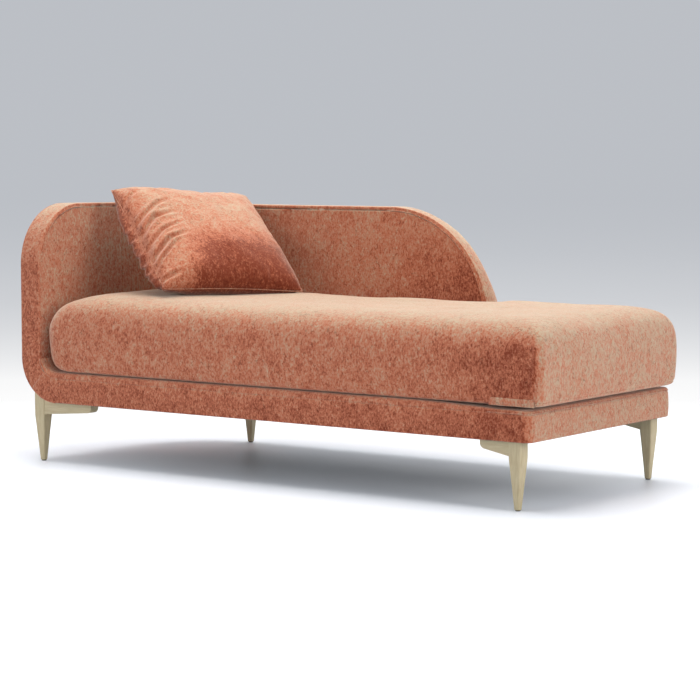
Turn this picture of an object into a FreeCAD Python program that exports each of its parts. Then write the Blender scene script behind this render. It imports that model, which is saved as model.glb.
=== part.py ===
import FreeCAD, Part
import math
import os
import Sketcher

# Chaise longue with one arm and a curved back, in millimetres, +Z up.
# The sketches are drawn from the outer left face of the arm (x = 0), the front (y = 0)
# and the floor (z = 0). Every finished piece is then placed so that the middle of the
# whole part stands over the origin.

# Driving sizes
SIZES = {
    # upholstered shell: base, arm and back
    "frame_length": 1685,
    "frame_depth": 730,
    "leg_height": 172,
    "band_height": 68,
    "deck_rise": 18,
    "shell_height": 726,
    "shell_thick": 68,
    "corner_radius": 360,
    "sill_radius": 126,
    "nose_radius": 170,
    "back_reach": 1148,
    "back_radius": 330,
    "end_radius": 24,
    "deck_round": 14,
    # layers of the shell, from the outside in
    "fabric": 2,
    "thin_pad": 8,
    "panel": 12,
    "cavity": 20,
    # timber
    "rail_thick": 32,
    "rear_rail_thick": 70,
    "rail_height": 62,
    "rail_corner": 18,
    "cross_rail_thick": 22,
    "second_rail_x": 800,
    "third_rail_x": 1240,
    "post_width": 40,
    "batten_height": 30,
    "gusset_thick": 12,
    # webbing
    "strap_count": 9,
    "strap_width": 70,
    "strap_thick": 2,
    "strap_margin": 60,
    # seat cushion
    "cushion_height": 214,
    "cushion_gap": 8,
    "cushion_setback": 2,
    "cushion_overhang": 30,
    "cushion_front_left_radius": 60,
    "cushion_front_right_radius": 30,
    "cushion_rear_right_radius": 45,
    "cushion_notch_radius": 24,
    "cover_cloth": 1.5,
    "rest_gap": 0.3,
    # loose pillow
    "pillow_side": 456,
    "pillow_thick": 150,
    "pillow_draw": 18,
    "pillow_ear": 14,
    "pillow_x": 370,
    "pillow_to_back": 351,
    "pillow_turn": 67.6,
    "pillow_roll": 2.6,
    "pillow_tilt": 37.1,
    # legs and their wings
    "leg_side": 36,
    "leg_foot": 15,
    "leg_straight": 41,
    "leg_edge": 4,
    "left_leg_inset": 52,
    "right_leg_inset": 50,
    "leg_setback": 31,
    "rear_left_leg_x": 277,
    "wing_thick": 30,
    "wing_height": 37,
    "wing_slope_drop": 13,
    "wing_tip_radius": 16,
    "long_wing": 178,
    "short_wing": 84,
    "glide_diameter": 13,
    "glide_height": 3,
    # fasteners
    "bolt_diameter": 8,
    "bolt_length": 60,
    "bolt_in_leg": 30,
    "hole_clearance": 0.2,
    "screw_diameter": 4.5,
    "screw_head_diameter": 9,
    "screw_head_height": 3,
    "screw_bite": 20,
    "screw_sink": 8,
    "screw_inset": 50,
    "dowel_diameter": 8,
    "dowel_in_leg": 11,
    "dowel_in_wing": 25,
    "dowel_drop": 18,
}

doc = FreeCAD.newDocument("chaise_longue")
sheet = doc.addObject("Spreadsheet::Sheet", "Sizes")
for row, (alias, number) in enumerate(SIZES.items(), start=1):
    sheet.set(f"A{row}", alias)
    sheet.set(f"B{row}", str(number))
    sheet.setAlias(f"B{row}", alias)
doc.recompute()


class Size:
    """A length that keeps its number together with the expression that gives it."""

    def __init__(self, number, text):
        self.number = number
        self.text = text

    def joined(self, other, sign, number):
        return Size(number, f"({self.text} {sign} {as_size(other).text})")

    def __add__(self, other):
        return self.joined(other, "+", self.number + as_size(other).number)

    def __sub__(self, other):
        return self.joined(other, "-", self.number - as_size(other).number)

    def __mul__(self, other):
        return self.joined(other, "*", self.number * as_size(other).number)

    def __truediv__(self, other):
        return self.joined(other, "/", self.number / as_size(other).number)


def as_size(value):
    return value if isinstance(value, Size) else Size(value, repr(value))


def cell(alias):
    return Size(getattr(sheet, alias), f"Sizes.{alias}")


# Planes and depths that the pieces share
length = cell("frame_length")
depth = cell("frame_depth")
underside = cell("leg_height")
height = cell("shell_height")
thick = cell("shell_thick")
corner = cell("corner_radius")
sill = cell("sill_radius")
nose = cell("nose_radius")
reach = cell("back_reach")
back_round = cell("back_radius")
end_round = cell("end_radius")
fabric = cell("fabric")
panel = cell("panel")
zero = Size(0.0, "0")

skin = fabric + cell("thin_pad")
cavity_outer = skin + panel
cavity_inner = cavity_outer + cell("cavity")
core = cavity_inner + panel
lining = thick - fabric
band_top = underside + cell("band_height")
deck_top = band_top + cell("deck_rise")
rail_bottom = underside + fabric
rail_top = rail_bottom + cell("rail_height")
strap_top = rail_top + cell("strap_thick")
sill_top = underside + sill
arm_end = depth - corner
nose_base = height - nose
back_shoulder = reach - back_round
back_nose_base = height - back_round
post_width = cell("post_width")
post_top = height - skin - cell("batten_height")
diagonal = math.sqrt(0.5)

# Outer size of the whole part, which sets the origin
overall_length = length + cell("cushion_overhang")


# Sketch tools. A corner is (x, y), reached by a straight edge, or the result of left()
# or right(), reached by an arc that turns that way.
def left(x, y, radius):
    return (x, y, radius, 1)


def right(x, y, radius):
    return (x, y, radius, -1)


def arc_middle(start, end, radius, turn):
    chord = end - start
    half = chord.Length / 2
    rise = math.sqrt(max(radius * radius - half * half, 0.0))
    sideways = FreeCAD.Vector(-chord.y, chord.x, 0)
    sideways.normalize()
    centre = (start + end) * 0.5 + sideways * (rise * turn)
    return centre - sideways * (radius * turn)


def near_end(sketch, edge, point):
    first = sketch.getPoint(edge, 1).distanceToPoint(point)
    second = sketch.getPoint(edge, 2).distanceToPoint(point)
    return 1 if first <= second else 2


def draw(sketch, corners):
    """Draws a closed outline and ties each corner and radius to its expression."""
    points = []
    for spot in corners:
        points.append(FreeCAD.Vector(as_size(spot[0]).number, as_size(spot[1]).number, 0))
    count = len(corners)
    for i in range(count):
        start = points[i]
        end = points[(i + 1) % count]
        spot = corners[(i + 1) % count]
        if len(spot) == 4:
            middle = arc_middle(start, end, as_size(spot[2]).number, spot[3])
            sketch.addGeometry(Part.Arc(start, middle, end), False)
        else:
            sketch.addGeometry(Part.LineSegment(start, end), False)
    for i in range(count):
        ends = near_end(sketch, i - 1 if i else count - 1, points[i])
        begins = near_end(sketch, i, points[i])
        previous = i - 1 if i else count - 1
        sketch.addConstraint(Sketcher.Constraint("Coincident", previous, ends, i, begins))
        for kind, value in (("DistanceX", corners[i][0]), ("DistanceY", corners[i][1])):
            value = as_size(value)
            added = sketch.addConstraint(
                Sketcher.Constraint(kind, -1, 1, i, begins, value.number)
            )
            sketch.setExpression(f"Constraints[{added}]", value.text)
    for i in range(count):
        spot = corners[(i + 1) % count]
        if len(spot) == 4:
            value = as_size(spot[2])
            added = sketch.addConstraint(Sketcher.Constraint("Radius", i, value.number))
            sketch.setExpression(f"Constraints[{added}]", value.text)


def add_sketch(body, plane, offset, corners):
    """Adds a sketch on one of the body's own planes, moved along its normal."""
    sketch = body.newObject("Sketcher::SketchObject", f"{body.Name}_sketch")
    for feature in body.Origin.OriginFeatures:
        if feature.Role == f"{plane}_Plane":
            sketch.AttachmentSupport = [(feature, "")]
    sketch.MapMode = "FlatFace"
    sketch.setExpression(".AttachmentOffset.Base.z", as_size(offset).text)
    draw(sketch, corners)
    return sketch


def add_prism(body, plane, start, size, corners):
    """Pads an outline from one depth along X, Y or Z. The XZ plane faces -Y."""
    size = as_size(size)
    offset = zero - (as_size(start) + size) if plane == "XZ" else as_size(start)
    sketch = add_sketch(body, plane, offset, corners)
    pad = body.newObject("PartDesign::Pad", f"{body.Name}_pad")
    pad.Profile = sketch
    pad.setExpression("Length", size.text)
    body.Tip = pad
    return pad


def prism(name, plane, start, size, corners):
    body = doc.addObject("PartDesign::Body", name)
    add_prism(body, plane, start, size, corners)
    return body


def cut(name, base, *tools):
    for number, tool in enumerate(tools):
        result = doc.addObject("Part::Cut", name if number == len(tools) - 1 else f"{name}_cut")
        result.Base = base
        result.Tool = tool
        base = result
    return base


def common(name, base, tool):
    result = doc.addObject("Part::Common", name)
    result.Base = base
    result.Tool = tool
    return result


def fuse(name, *shapes):
    result = doc.addObject("Part::MultiFuse", name)
    result.Shapes = list(shapes)
    return result


def group(name, shapes):
    result = doc.addObject("Part::Compound", name)
    result.Links = list(shapes)
    return result


def put(piece, x, y, z):
    for axis, value in (("x", x), ("y", y), ("z", z)):
        piece.setExpression(f"Placement.Base.{axis}", as_size(value).text)


def cylinder(name, x, y, z, diameter, size, axis="Z"):
    rod = doc.addObject("Part::Cylinder", name)
    rod.setExpression("Radius", f"{as_size(diameter).text} / 2")
    rod.setExpression("Height", as_size(size).text)
    if axis == "X":
        lying = FreeCAD.Rotation(FreeCAD.Vector(0, 1, 0), 90)
        rod.Placement = FreeCAD.Placement(FreeCAD.Vector(), lying)
    put(rod, x, y, z)
    return rod


def box(name, x, y, z, size_x, size_y, size_z):
    block = doc.addObject("Part::Box", name)
    block.setExpression("Length", as_size(size_x).text)
    block.setExpression("Width", as_size(size_y).text)
    block.setExpression("Height", as_size(size_z).text)
    put(block, x, y, z)
    return block


parts = {}


def finish(name, piece):
    """Keeps a piece to be handed over, under the name that it carries from now on."""
    parts[name] = piece


# Outlines of the shell, each drawn a given distance inside the outer surface
def arm_outline(inset, bottom):
    return [
        (inset, bottom),
        (arm_end, bottom),
        (arm_end, height - inset),
        (nose, height - inset),
        left(inset, nose_base, nose - inset),
    ]


def arm_strip(outer, inner, bottom):
    return [
        (outer, bottom),
        (inner, bottom),
        (inner, nose_base),
        right(nose, height - inner, nose - inner),
        (arm_end, height - inner),
        (arm_end, height - outer),
        (nose, height - outer),
        left(outer, nose_base, nose - outer),
    ]


def back_outline(inset, bottom):
    return [
        (corner, bottom),
        (reach - inset, bottom),
        (reach - inset, back_nose_base),
        left(back_shoulder, height - inset, back_round - inset),
        (corner, height - inset),
    ]


def back_strip(outer, inner, bottom):
    return [
        (corner, height - inner),
        (back_shoulder, height - inner),
        right(reach - inner, back_nose_base, back_round - inner),
        (reach - inner, bottom),
        (reach - outer, bottom),
        (reach - outer, back_nose_base),
        left(back_shoulder, height - outer, back_round - outer),
        (corner, height - outer),
    ]


def ring(name, outer, inner, bottom, top):
    """A quarter ring round the rear left corner, between two depths below its surface."""
    outline = [
        left(inner, arm_end, corner - inner),
        (outer, arm_end),
        right(corner, depth - outer, corner - outer),
        (corner, depth - inner),
    ]
    return prism(name, "XY", bottom, top - bottom, outline)


def quarter_disc(name, inset, bottom):
    outline = [
        (inset, arm_end),
        right(corner, depth - inset, corner - inset),
        (corner, arm_end),
    ]
    return prism(name, "XY", bottom, height - bottom, outline)


def front_view(name, inset):
    """All that lies above the rounded lower left edge, seen from the front."""
    outline = [
        (inset, height),
        (inset, sill_top),
        left(sill, underside + inset, sill - inset),
        (corner, underside + inset),
        (corner, height),
    ]
    return prism(name, "XZ", zero, depth, outline)


def sill_strip(outer, inner, top):
    """A strip down the arm and round under the lower left edge."""
    return [
        (outer, top),
        (outer, sill_top),
        left(sill, underside + outer, sill - outer),
        (sill, underside + inner),
        right(inner, sill_top, sill - inner),
        (inner, top),
    ]


def nose_waste(name, inset):
    """What the rounded front of the arm takes off a piece that is square there."""
    outline = [
        (inset, nose_base),
        right(nose, height - inset, nose - inset),
        (inset, height - inset),
    ]
    return prism(name, "YZ", zero, sill, outline)


def band_strip(outer, inner, inner_radius, rear_end):
    """The base band in plan: front, right end and the stretch behind, to rear_end."""
    inner_arc = inner + inner_radius
    return [
        (sill, outer),
        (length - end_round, outer),
        left(length - outer, end_round, end_round - outer),
        (length - outer, depth - end_round),
        left(length - end_round, depth - outer, end_round - outer),
        (rear_end, depth - outer),
        (rear_end, depth - inner),
        (length - inner_arc, depth - inner),
        right(length - inner, depth - inner_arc, inner_radius),
        (length - inner, inner_arc),
        right(length - inner_arc, inner, inner_radius),
        (sill, inner),
    ]


def deck_outline(inset):
    """The seat platform in plan, round the end of the back and into the rounded corner."""
    inside = thick + inset
    return [
        (sill + inset, inset),
        (length - end_round, inset),
        left(length - inset, end_round, end_round - inset),
        (length - inset, depth - end_round),
        left(length - end_round, depth - inset, end_round - inset),
        (reach + inset, depth - inset),
        (reach + inset, depth - inside),
        (corner, depth - inside),
        left(inside, arm_end, corner - inside),
        (sill + inset, arm_end),
    ]


def rounded_edges(name, base, radius, level):
    """Rounds the outer edges at one height, along the front, the right end and behind."""
    doc.recompute()
    chosen = []
    for number, edge in enumerate(base.Shape.Edges, start=1):
        box = edge.BoundBox
        flat = abs(box.ZMin - level.number) < 0.01 and abs(box.ZMax - level.number) < 0.01
        middle = edge.CenterOfMass
        front = middle.y < skin.number
        right_end = middle.x > (length - end_round).number
        behind = middle.y > (depth - skin).number and middle.x > reach.number
        if flat and (front or right_end or behind):
            chosen.append((number, as_size(radius).number, as_size(radius).number))
    result = doc.addObject("Part::Fillet", name)
    result.Base = base
    result.Edges = chosen
    return result


# Holes for the bolts that hold the legs
left_leg_x = cell("left_leg_inset")
right_leg_x = length - cell("right_leg_inset")
front_leg_y = cell("leg_setback")
rear_leg_y = depth - cell("leg_setback")
LEG_PLACES = {
    "front_left": (left_leg_x, front_leg_y),
    "front_right": (right_leg_x, front_leg_y),
    "rear_right": (right_leg_x, rear_leg_y),
    "rear_left": (cell("rear_left_leg_x"), rear_leg_y),
}
bolt_base = underside - cell("bolt_in_leg")
bolt_hole = cell("bolt_diameter") + cell("hole_clearance")
holes = {}
bolts = []
for place, (leg_x, leg_y) in LEG_PLACES.items():
    holes[place] = cylinder(
        f"{place}_bolt_hole", leg_x, leg_y, bolt_base, bolt_hole, cell("bolt_length")
    )
    bolts.append(cylinder(
        f"{place}_bolt", leg_x, leg_y, bolt_base, cell("bolt_diameter"), cell("bolt_length")
    ))
finish("leg_bolts", group("leg_bolts", bolts))

# Screws that hold the free end of each wing up against the base
half_leg = cell("leg_side") / 2
LEG_WINGS = {
    "front_left": (1, cell("long_wing")),
    "front_right": (-1, cell("short_wing")),
    "rear_right": (-1, cell("short_wing")),
    "rear_left": (1, cell("long_wing")),
}
screw_base = underside - cell("wing_height") + cell("wing_slope_drop") + cell("screw_sink")
screw_length = rail_bottom + cell("screw_bite") - screw_base
screws = []
screw_ways = {}
for place, (side, wing_length) in LEG_WINGS.items():
    leg_x, leg_y = LEG_PLACES[place]
    screw_x = leg_x + (half_leg + wing_length - cell("screw_inset")) * side
    hole = cell("screw_diameter") + cell("hole_clearance")
    head_hole = cell("screw_head_diameter") + cell("hole_clearance")
    way = cylinder(f"{place}_screw_way", screw_x, leg_y, screw_base, hole, screw_length)
    sink = cylinder(
        f"{place}_screw_sink", screw_x, leg_y, bolt_base - cell("wing_height"), head_hole,
        screw_base + cell("screw_head_height") - bolt_base + cell("wing_height"),
    )
    screw_ways[place] = fuse(f"{place}_screw_hole", way, sink)
    shank = cylinder(
        f"{place}_shank", screw_x, leg_y, screw_base, cell("screw_diameter"), screw_length
    )
    head = cylinder(
        f"{place}_head", screw_x, leg_y, screw_base, cell("screw_head_diameter"),
        cell("screw_head_height"),
    )
    screws.append(fuse(f"{place}_screw", shank, head))
finish("wing_screws", group("wing_screws", screws))

# Timber frame of the base
rail_corner = cell("rail_corner")
rail_thick = cell("rail_thick")
rail_height = cell("rail_height")
rail_end = length - skin
front_rail = prism(
    "front_rail_blank", "XY", rail_bottom, rail_height,
    [
        (sill, skin),
        (rail_end - rail_corner, skin),
        left(rail_end, skin + rail_corner, rail_corner),
        (rail_end, skin + rail_thick),
        (sill, skin + rail_thick),
    ],
)
finish("front_rail", cut(
    "front_rail", front_rail, holes["front_right"],
    screw_ways["front_left"], screw_ways["front_right"],
))
rear_rail_front = depth - skin - cell("rear_rail_thick")
rear_rail = prism(
    "rear_rail_blank", "XY", rail_bottom, rail_height,
    [
        (corner, rear_rail_front),
        (rail_end, rear_rail_front),
        (rail_end, depth - skin - rail_corner),
        left(rail_end - rail_corner, depth - skin, rail_corner),
        (corner, depth - skin),
    ],
)
finish("rear_rail", cut(
    "rear_rail", rear_rail, holes["rear_right"],
    screw_ways["rear_right"], screw_ways["rear_left"],
))
rail_start = skin + rail_thick
rail_span = rear_rail_front - rail_start
finish("right_rail", group("right_rail", [
    box("right_rail_bar", rail_end - rail_thick, rail_start, rail_bottom,
        rail_thick, rail_span, rail_height),
]))
cross_rails = []
for number, rail_x in enumerate((corner, cell("second_rail_x"), cell("third_rail_x")), start=1):
    cross_rails.append(box(
        f"cross_rail_{number}", rail_x, rail_start, rail_bottom,
        cell("cross_rail_thick"), rail_span, rail_height,
    ))
finish("cross_rails", group("cross_rails", cross_rails))
finish("corner_gusset", prism(
    "corner_gusset", "XY", strap_top - cell("gusset_thick"), cell("gusset_thick"),
    [
        (sill, rail_start),
        (corner, rail_start),
        (corner, depth - core),
        left(core, arm_end, corner - core),
        (sill, arm_end),
    ],
))

# Curved timber sills under the arm and the rounded corner
left_sill = prism(
    "left_sill_blank", "XZ", skin, arm_end - skin,
    [
        right(core, sill_top, sill - core),
        (skin, sill_top),
        left(sill, underside + skin, sill - skin),
        (sill, underside + core),
    ],
)
finish("left_sill", cut("left_sill", left_sill, holes["front_left"]))
above_skin = front_view("above_skin", skin)
corner_sill = common(
    "corner_sill_blank", ring("corner_sill_ring", skin, core, rail_bottom, sill_top), above_skin
)
finish("corner_sill", cut("corner_sill", corner_sill, holes["rear_left"]))

# Double walls of the arm, corner and back, with posts and battens between them
finish("arm_outer_board", prism(
    "arm_outer_board", "YZ", skin, panel, arm_outline(skin, sill_top)
))
finish("arm_inner_board", prism(
    "arm_inner_board", "YZ", cavity_inner, panel, arm_outline(skin, sill_top)
))
finish("arm_posts", group("arm_posts", [
    box("arm_front_post", cavity_outer, skin, sill_top,
        cell("cavity"), post_width, nose_base - sill_top),
    box("arm_rear_post", cavity_outer, arm_end - post_width, sill_top,
        cell("cavity"), post_width, post_top - sill_top),
]))
finish("arm_top_batten", group("arm_top_batten", [
    box("arm_batten_bar", cavity_outer, nose, post_top,
        cell("cavity"), arm_end - nose, cell("batten_height")),
]))
finish("corner_outer_board", ring(
    "corner_outer_board", skin, cavity_outer, sill_top, height - skin
))
finish("corner_inner_board", ring(
    "corner_inner_board", cavity_inner, core, sill_top, height - skin
))
finish("corner_top_batten", ring(
    "corner_top_batten", cavity_outer, cavity_inner, post_top, height - skin
))
finish("back_outer_board", prism(
    "back_outer_board", "XZ", depth - cavity_outer, panel, back_outline(skin, rail_top)
))
finish("back_inner_board", prism(
    "back_inner_board", "XZ", depth - core, panel, back_outline(skin, rail_top)
))
back_posts = []
for number, (post_x, top) in enumerate((
    (corner, post_top),
    (back_shoulder - post_width, post_top),
    (reach - skin - post_width, back_nose_base),
), start=1):
    back_posts.append(box(
        f"back_post_{number}", post_x, depth - cavity_inner, rail_top,
        post_width, cell("cavity"), top - rail_top,
    ))
finish("back_posts", group("back_posts", back_posts))
finish("back_top_batten", group("back_top_batten", [
    box("back_batten_bar", corner, depth - cavity_inner, post_top,
        back_shoulder - corner, cell("cavity"), cell("batten_height")),
]))

# Webbing across the rails, between the first cross rail and the right rail
strap_first = corner + cell("cross_rail_thick") + cell("strap_margin")
strap_last = rail_end - rail_thick - cell("strap_margin") - cell("strap_width")
strap_count = int(sheet.strap_count)
straps = []
for number in range(strap_count):
    strap_x = strap_first + (strap_last - strap_first) * number / (strap_count - 1)
    straps.append(box(
        f"strap_{number + 1}", strap_x, skin + fabric, rail_top,
        cell("strap_width"), depth - thick - skin - fabric, cell("strap_thick"),
    ))
finish("webbing", group("webbing", straps))

# Foam over the arm
arm_outer_pad = prism(
    "arm_outer_pad_blank", "XZ", skin, arm_end - skin, sill_strip(fabric, skin, height - skin)
)
skin_waste = nose_waste("skin_waste", skin)
finish("arm_outer_pad", cut(
    "arm_outer_pad", arm_outer_pad, skin_waste, holes["front_left"]
))
seat_curve = cell("sill_radius") - thick
lining_curve = seat_curve + fabric
seat_curve_top = deck_top + seat_curve
arm_inner_pad = prism(
    "arm_inner_pad_blank", "XZ", skin, arm_end - skin,
    [
        (core, height - skin),
        (core, sill_top),
        left(sill, underside + core, sill - core),
        (sill, deck_top - fabric),
        right(lining, seat_curve_top, lining_curve),
        (lining, height - skin),
    ],
)
finish("arm_inner_pad", cut("arm_inner_pad", arm_inner_pad, skin_waste))
finish("arm_rim_pad", prism(
    "arm_rim_pad", "YZ", fabric, lining - fabric, arm_strip(fabric, skin, sill_top)
))
finish("front_corner_pad", prism(
    "front_corner_pad", "XZ", fabric, cell("thin_pad"),
    [
        right(lining, sill_top, sill - lining),
        (fabric, sill_top),
        left(sill, underside + fabric, sill - fabric),
        (sill, underside + lining),
    ],
))

# Foam round the corner and over the back
above_cloth = front_view("above_cloth", fabric)
corner_pad_outer = common(
    "corner_pad_outer",
    ring("corner_pad_ring", fabric, core, underside, height - skin), above_cloth,
)
corner_pad_inner = common(
    "corner_pad_inner",
    ring("corner_pad_core", skin, core, underside, height - skin), above_skin,
)
finish("corner_outer_pad", cut(
    "corner_outer_pad", corner_pad_outer, corner_pad_inner, holes["rear_left"]
))
finish("corner_inner_pad", ring(
    "corner_inner_pad", core, lining, strap_top, height - skin
))
finish("corner_rim_pad", ring(
    "corner_rim_pad", fabric, lining, height - skin, height - fabric
))
finish("back_outer_pad", prism(
    "back_outer_pad", "XZ", depth - skin, cell("thin_pad"), back_outline(skin, rail_bottom)
))
finish("back_inner_pad", prism(
    "back_inner_pad", "XZ", depth - lining, lining - core, back_outline(skin, strap_top)
))
finish("back_rim_pad", prism(
    "back_rim_pad", "XZ", depth - lining, lining - fabric, back_strip(fabric, skin, strap_top)
))

# Foam round and on the base
finish("band_pad", prism(
    "band_pad", "XY", rail_bottom, strap_top - rail_bottom,
    band_strip(fabric, skin, rail_corner, reach - skin),
))
deck_pad = prism(
    "deck_pad_blank", "XY", strap_top, deck_top - fabric - strap_top, deck_outline(fabric)
)
finish("deck_pad", rounded_edges(
    "deck_pad", deck_pad, cell("deck_round") - fabric, deck_top - fabric
))

# Covers of the arm
arm_outer_cover = prism(
    "arm_outer_cover_blank", "XZ", fabric, arm_end - fabric,
    sill_strip(zero, fabric, height - fabric),
)
cloth_waste = nose_waste("cloth_waste", fabric)
finish("arm_outer_cover", cut(
    "arm_outer_cover", arm_outer_cover, cloth_waste, holes["front_left"]
))
arm_lining = prism(
    "arm_lining_blank", "XZ", fabric, arm_end - fabric,
    [
        (lining, height - fabric),
        (lining, seat_curve_top),
        left(sill, deck_top - fabric, lining_curve),
        (sill, deck_top),
        right(thick, seat_curve_top, seat_curve),
        (thick, height - fabric),
    ],
)
arm_lining_cut = cut("arm_lining_cut", arm_lining, cloth_waste)
arm_flap = prism(
    "arm_flap", "XZ", zero, fabric,
    [
        (thick, sill_top),
        left(sill, band_top, seat_curve),
        (sill, deck_top),
        right(thick, seat_curve_top, seat_curve),
    ],
)
finish("arm_inner_cover", fuse("arm_inner_cover", arm_lining_cut, arm_flap))

# The front band turns the lower left corner, with a mitred seam half way round
mitre_outer_x = sill - sill * diagonal
mitre_outer_z = sill_top - sill * diagonal
mitre_inner_x = sill - seat_curve * diagonal
mitre_inner_z = sill_top - seat_curve * diagonal
arm_band = prism(
    "arm_band", "YZ", zero, thick, arm_strip(zero, fabric, sill_top)
)
upper_mitre = prism(
    "upper_mitre", "XZ", zero, fabric,
    [
        (zero, sill_top),
        left(mitre_outer_x, mitre_outer_z, sill),
        (mitre_inner_x, mitre_inner_z),
        right(thick, sill_top, seat_curve),
    ],
)
finish("arm_rim_cover", fuse("arm_rim_cover", arm_band, upper_mitre))
base_band = prism(
    "base_band", "XY", underside, cell("band_height"),
    band_strip(zero, fabric, end_round - fabric, reach - fabric),
)
lower_mitre = prism(
    "lower_mitre", "XZ", zero, fabric,
    [
        (mitre_outer_x, mitre_outer_z),
        left(sill, underside, sill),
        (sill, band_top),
        right(mitre_inner_x, mitre_inner_z, seat_curve),
    ],
)
finish("base_band_cover", fuse("base_band_cover", base_band, lower_mitre))

# Covers of the corner and the back
corner_cover_outer = common(
    "corner_cover_outer", quarter_disc("corner_disc", zero, underside), front_view("above_all", zero)
)
corner_cover_inner = common(
    "corner_cover_inner", quarter_disc("corner_core_disc", fabric, underside), above_cloth
)
corner_rim = ring("corner_rim", zero, thick, height - fabric, height)
finish("corner_outer_cover", cut(
    "corner_outer_cover", corner_cover_outer, corner_cover_inner, corner_rim, holes["rear_left"]
))
finish("corner_rim_cover", group("corner_rim_cover", [corner_rim]))
finish("corner_inner_cover", ring(
    "corner_inner_cover", lining, thick, band_top, height - fabric
))
finish("back_outer_cover", prism(
    "back_outer_cover", "XZ", depth - fabric, fabric, back_outline(fabric, underside)
))
finish("back_inner_cover", prism(
    "back_inner_cover", "XZ", depth - thick, fabric, back_outline(fabric, band_top)
))
finish("back_rim_cover", prism(
    "back_rim_cover", "XZ", depth - thick, thick, back_strip(zero, fabric, band_top)
))

# Cover of the seat platform, and the dust cover under the base
deck_block = prism(
    "deck_block", "XY", band_top, deck_top - band_top, deck_outline(zero)
)
deck_hollow = prism(
    "deck_hollow", "XY", band_top, deck_top - fabric - band_top, deck_outline(fabric)
)
finish("deck_cover", cut(
    "deck_cover",
    rounded_edges("deck_block_round", deck_block, cell("deck_round"), deck_top),
    rounded_edges("deck_hollow_round", deck_hollow, cell("deck_round") - fabric, deck_top - fabric),
))
dust_cover = prism(
    "dust_cover_blank", "XY", underside, fabric,
    [
        (sill, fabric),
        (length - end_round, fabric),
        left(length - fabric, end_round, end_round - fabric),
        (length - fabric, depth - end_round),
        left(length - end_round, depth - fabric, end_round - fabric),
        (corner, depth - fabric),
        (corner, arm_end),
        (sill, arm_end),
    ],
)
finish("dust_cover", cut(
    "dust_cover", dust_cover, holes["front_right"], holes["rear_right"],
    *screw_ways.values(),
))

# Seat cushion. Each level of its soft form is (share of the height, how far the outline
# is drawn in, how far the left side is drawn in over the curved foot of the arm).
CUSHION_LEVELS = (
    (0.0, 20, 62),
    (0.04, 8, 34),
    (0.105, 2, 14),
    (0.22, 0, 2),
    (0.5, 0, 0),
    (0.7, 4, 4),
    (0.84, 16, 16),
    (0.925, 40, 40),
    (0.975, 85, 85),
    (1.0, 170, 170),
)


def cushion_outline(inset, left_inset):
    gap = cell("cushion_gap")
    front_left = cell("cushion_front_left_radius")
    front_right = cell("cushion_front_right_radius")
    rear_right = cell("cushion_rear_right_radius")
    notch = cell("cushion_notch_radius")
    left_side = thick + gap + left_inset
    right_side = overall_length - inset
    front = cell("cushion_setback") + inset
    rear = depth - cell("cushion_setback") - inset
    back_side = depth - thick - gap - inset
    notch_side = reach + gap + inset
    shell_round = corner - thick - gap - inset
    return [
        left(left_side + front_left, front, front_left),
        (right_side - front_right, front),
        left(right_side, front + front_right, front_right),
        (right_side, rear - rear_right),
        left(right_side - rear_right, rear, rear_right),
        (notch_side + notch, rear),
        left(notch_side, rear - notch, notch),
        (notch_side, back_side + notch),
        right(notch_side - notch, back_side, notch),
        (left_side + shell_round, back_side),
        left(left_side, back_side - shell_round, shell_round),
        (left_side, front + front_left),
    ]


def cushion_form(name, shrink):
    body = doc.addObject("PartDesign::Body", name)
    base = deck_top + cell("rest_gap") + shrink
    rise = cell("cushion_height") - as_size(shrink) * 2
    sections = []
    for share, inset, left_inset in CUSHION_LEVELS:
        outline = cushion_outline(as_size(shrink) + inset, as_size(shrink) + left_inset)
        sections.append(add_sketch(body, "XY", base + rise * share, outline))
    loft = body.newObject("PartDesign::AdditiveLoft", f"{name}_loft")
    loft.Profile = sections[0]
    loft.Sections = sections[1:]
    loft.Ruled = True
    body.Tip = loft
    return body


cushion_core = cushion_form("cushion_core", cell("cover_cloth"))
cushion_skin = cushion_form("cushion_skin", zero)
finish("seat_cushion_core", group("seat_cushion_core", [cushion_core]))
finish("seat_cushion_cover", cut("seat_cushion_cover", cushion_skin, cushion_core))

# Loose pillow, drawn flat with its middle plane at z = 0. Each level is (share of half
# the thickness, how far the outline is drawn in from the seam).
PILLOW_LEVELS = (
    (-1.0, 160),
    (-0.9, 112),
    (-0.66, 64),
    (-0.34, 26),
    (0.0, 0),
    (0.34, 26),
    (0.66, 64),
    (0.9, 112),
    (1.0, 160),
)
pillow_side = cell("pillow_side")


def pillow_outline(inset, shrink):
    """A square whose sides are drawn in between rounded ears."""
    ear = cell("pillow_ear")
    low = as_size(shrink) + inset
    high = pillow_side - shrink - inset
    near = low + ear
    far = high - ear
    draw_in = cell("pillow_draw") * (1 - inset / (2 * max(level[1] for level in PILLOW_LEVELS)))
    half = (far - near) / 2
    bow = (half * half + draw_in * draw_in) / (draw_in * 2)
    return [
        left(near, low, ear),
        right(far, low, bow),
        left(high, near, ear),
        right(high, far, bow),
        left(far, high, ear),
        right(near, high, bow),
        left(low, far, ear),
        right(low, near, bow),
    ]


def pillow_form(name, shrink):
    body = doc.addObject("PartDesign::Body", name)
    half = cell("pillow_thick") / 2 - shrink
    sections = []
    for share, inset in PILLOW_LEVELS:
        sections.append(add_sketch(body, "XY", half * share, pillow_outline(inset, shrink)))
    loft = body.newObject("PartDesign::AdditiveLoft", f"{name}_loft")
    loft.Profile = sections[0]
    loft.Sections = sections[1:]
    body.Tip = loft
    return body


pillow_core = pillow_form("pillow_core", cell("cover_cloth"))
pillow_skin = pillow_form("pillow_skin", zero)
finish("pillow_fill", group("pillow_fill", [pillow_core]))
finish("pillow_cover", cut("pillow_cover", pillow_skin, pillow_core))

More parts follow.
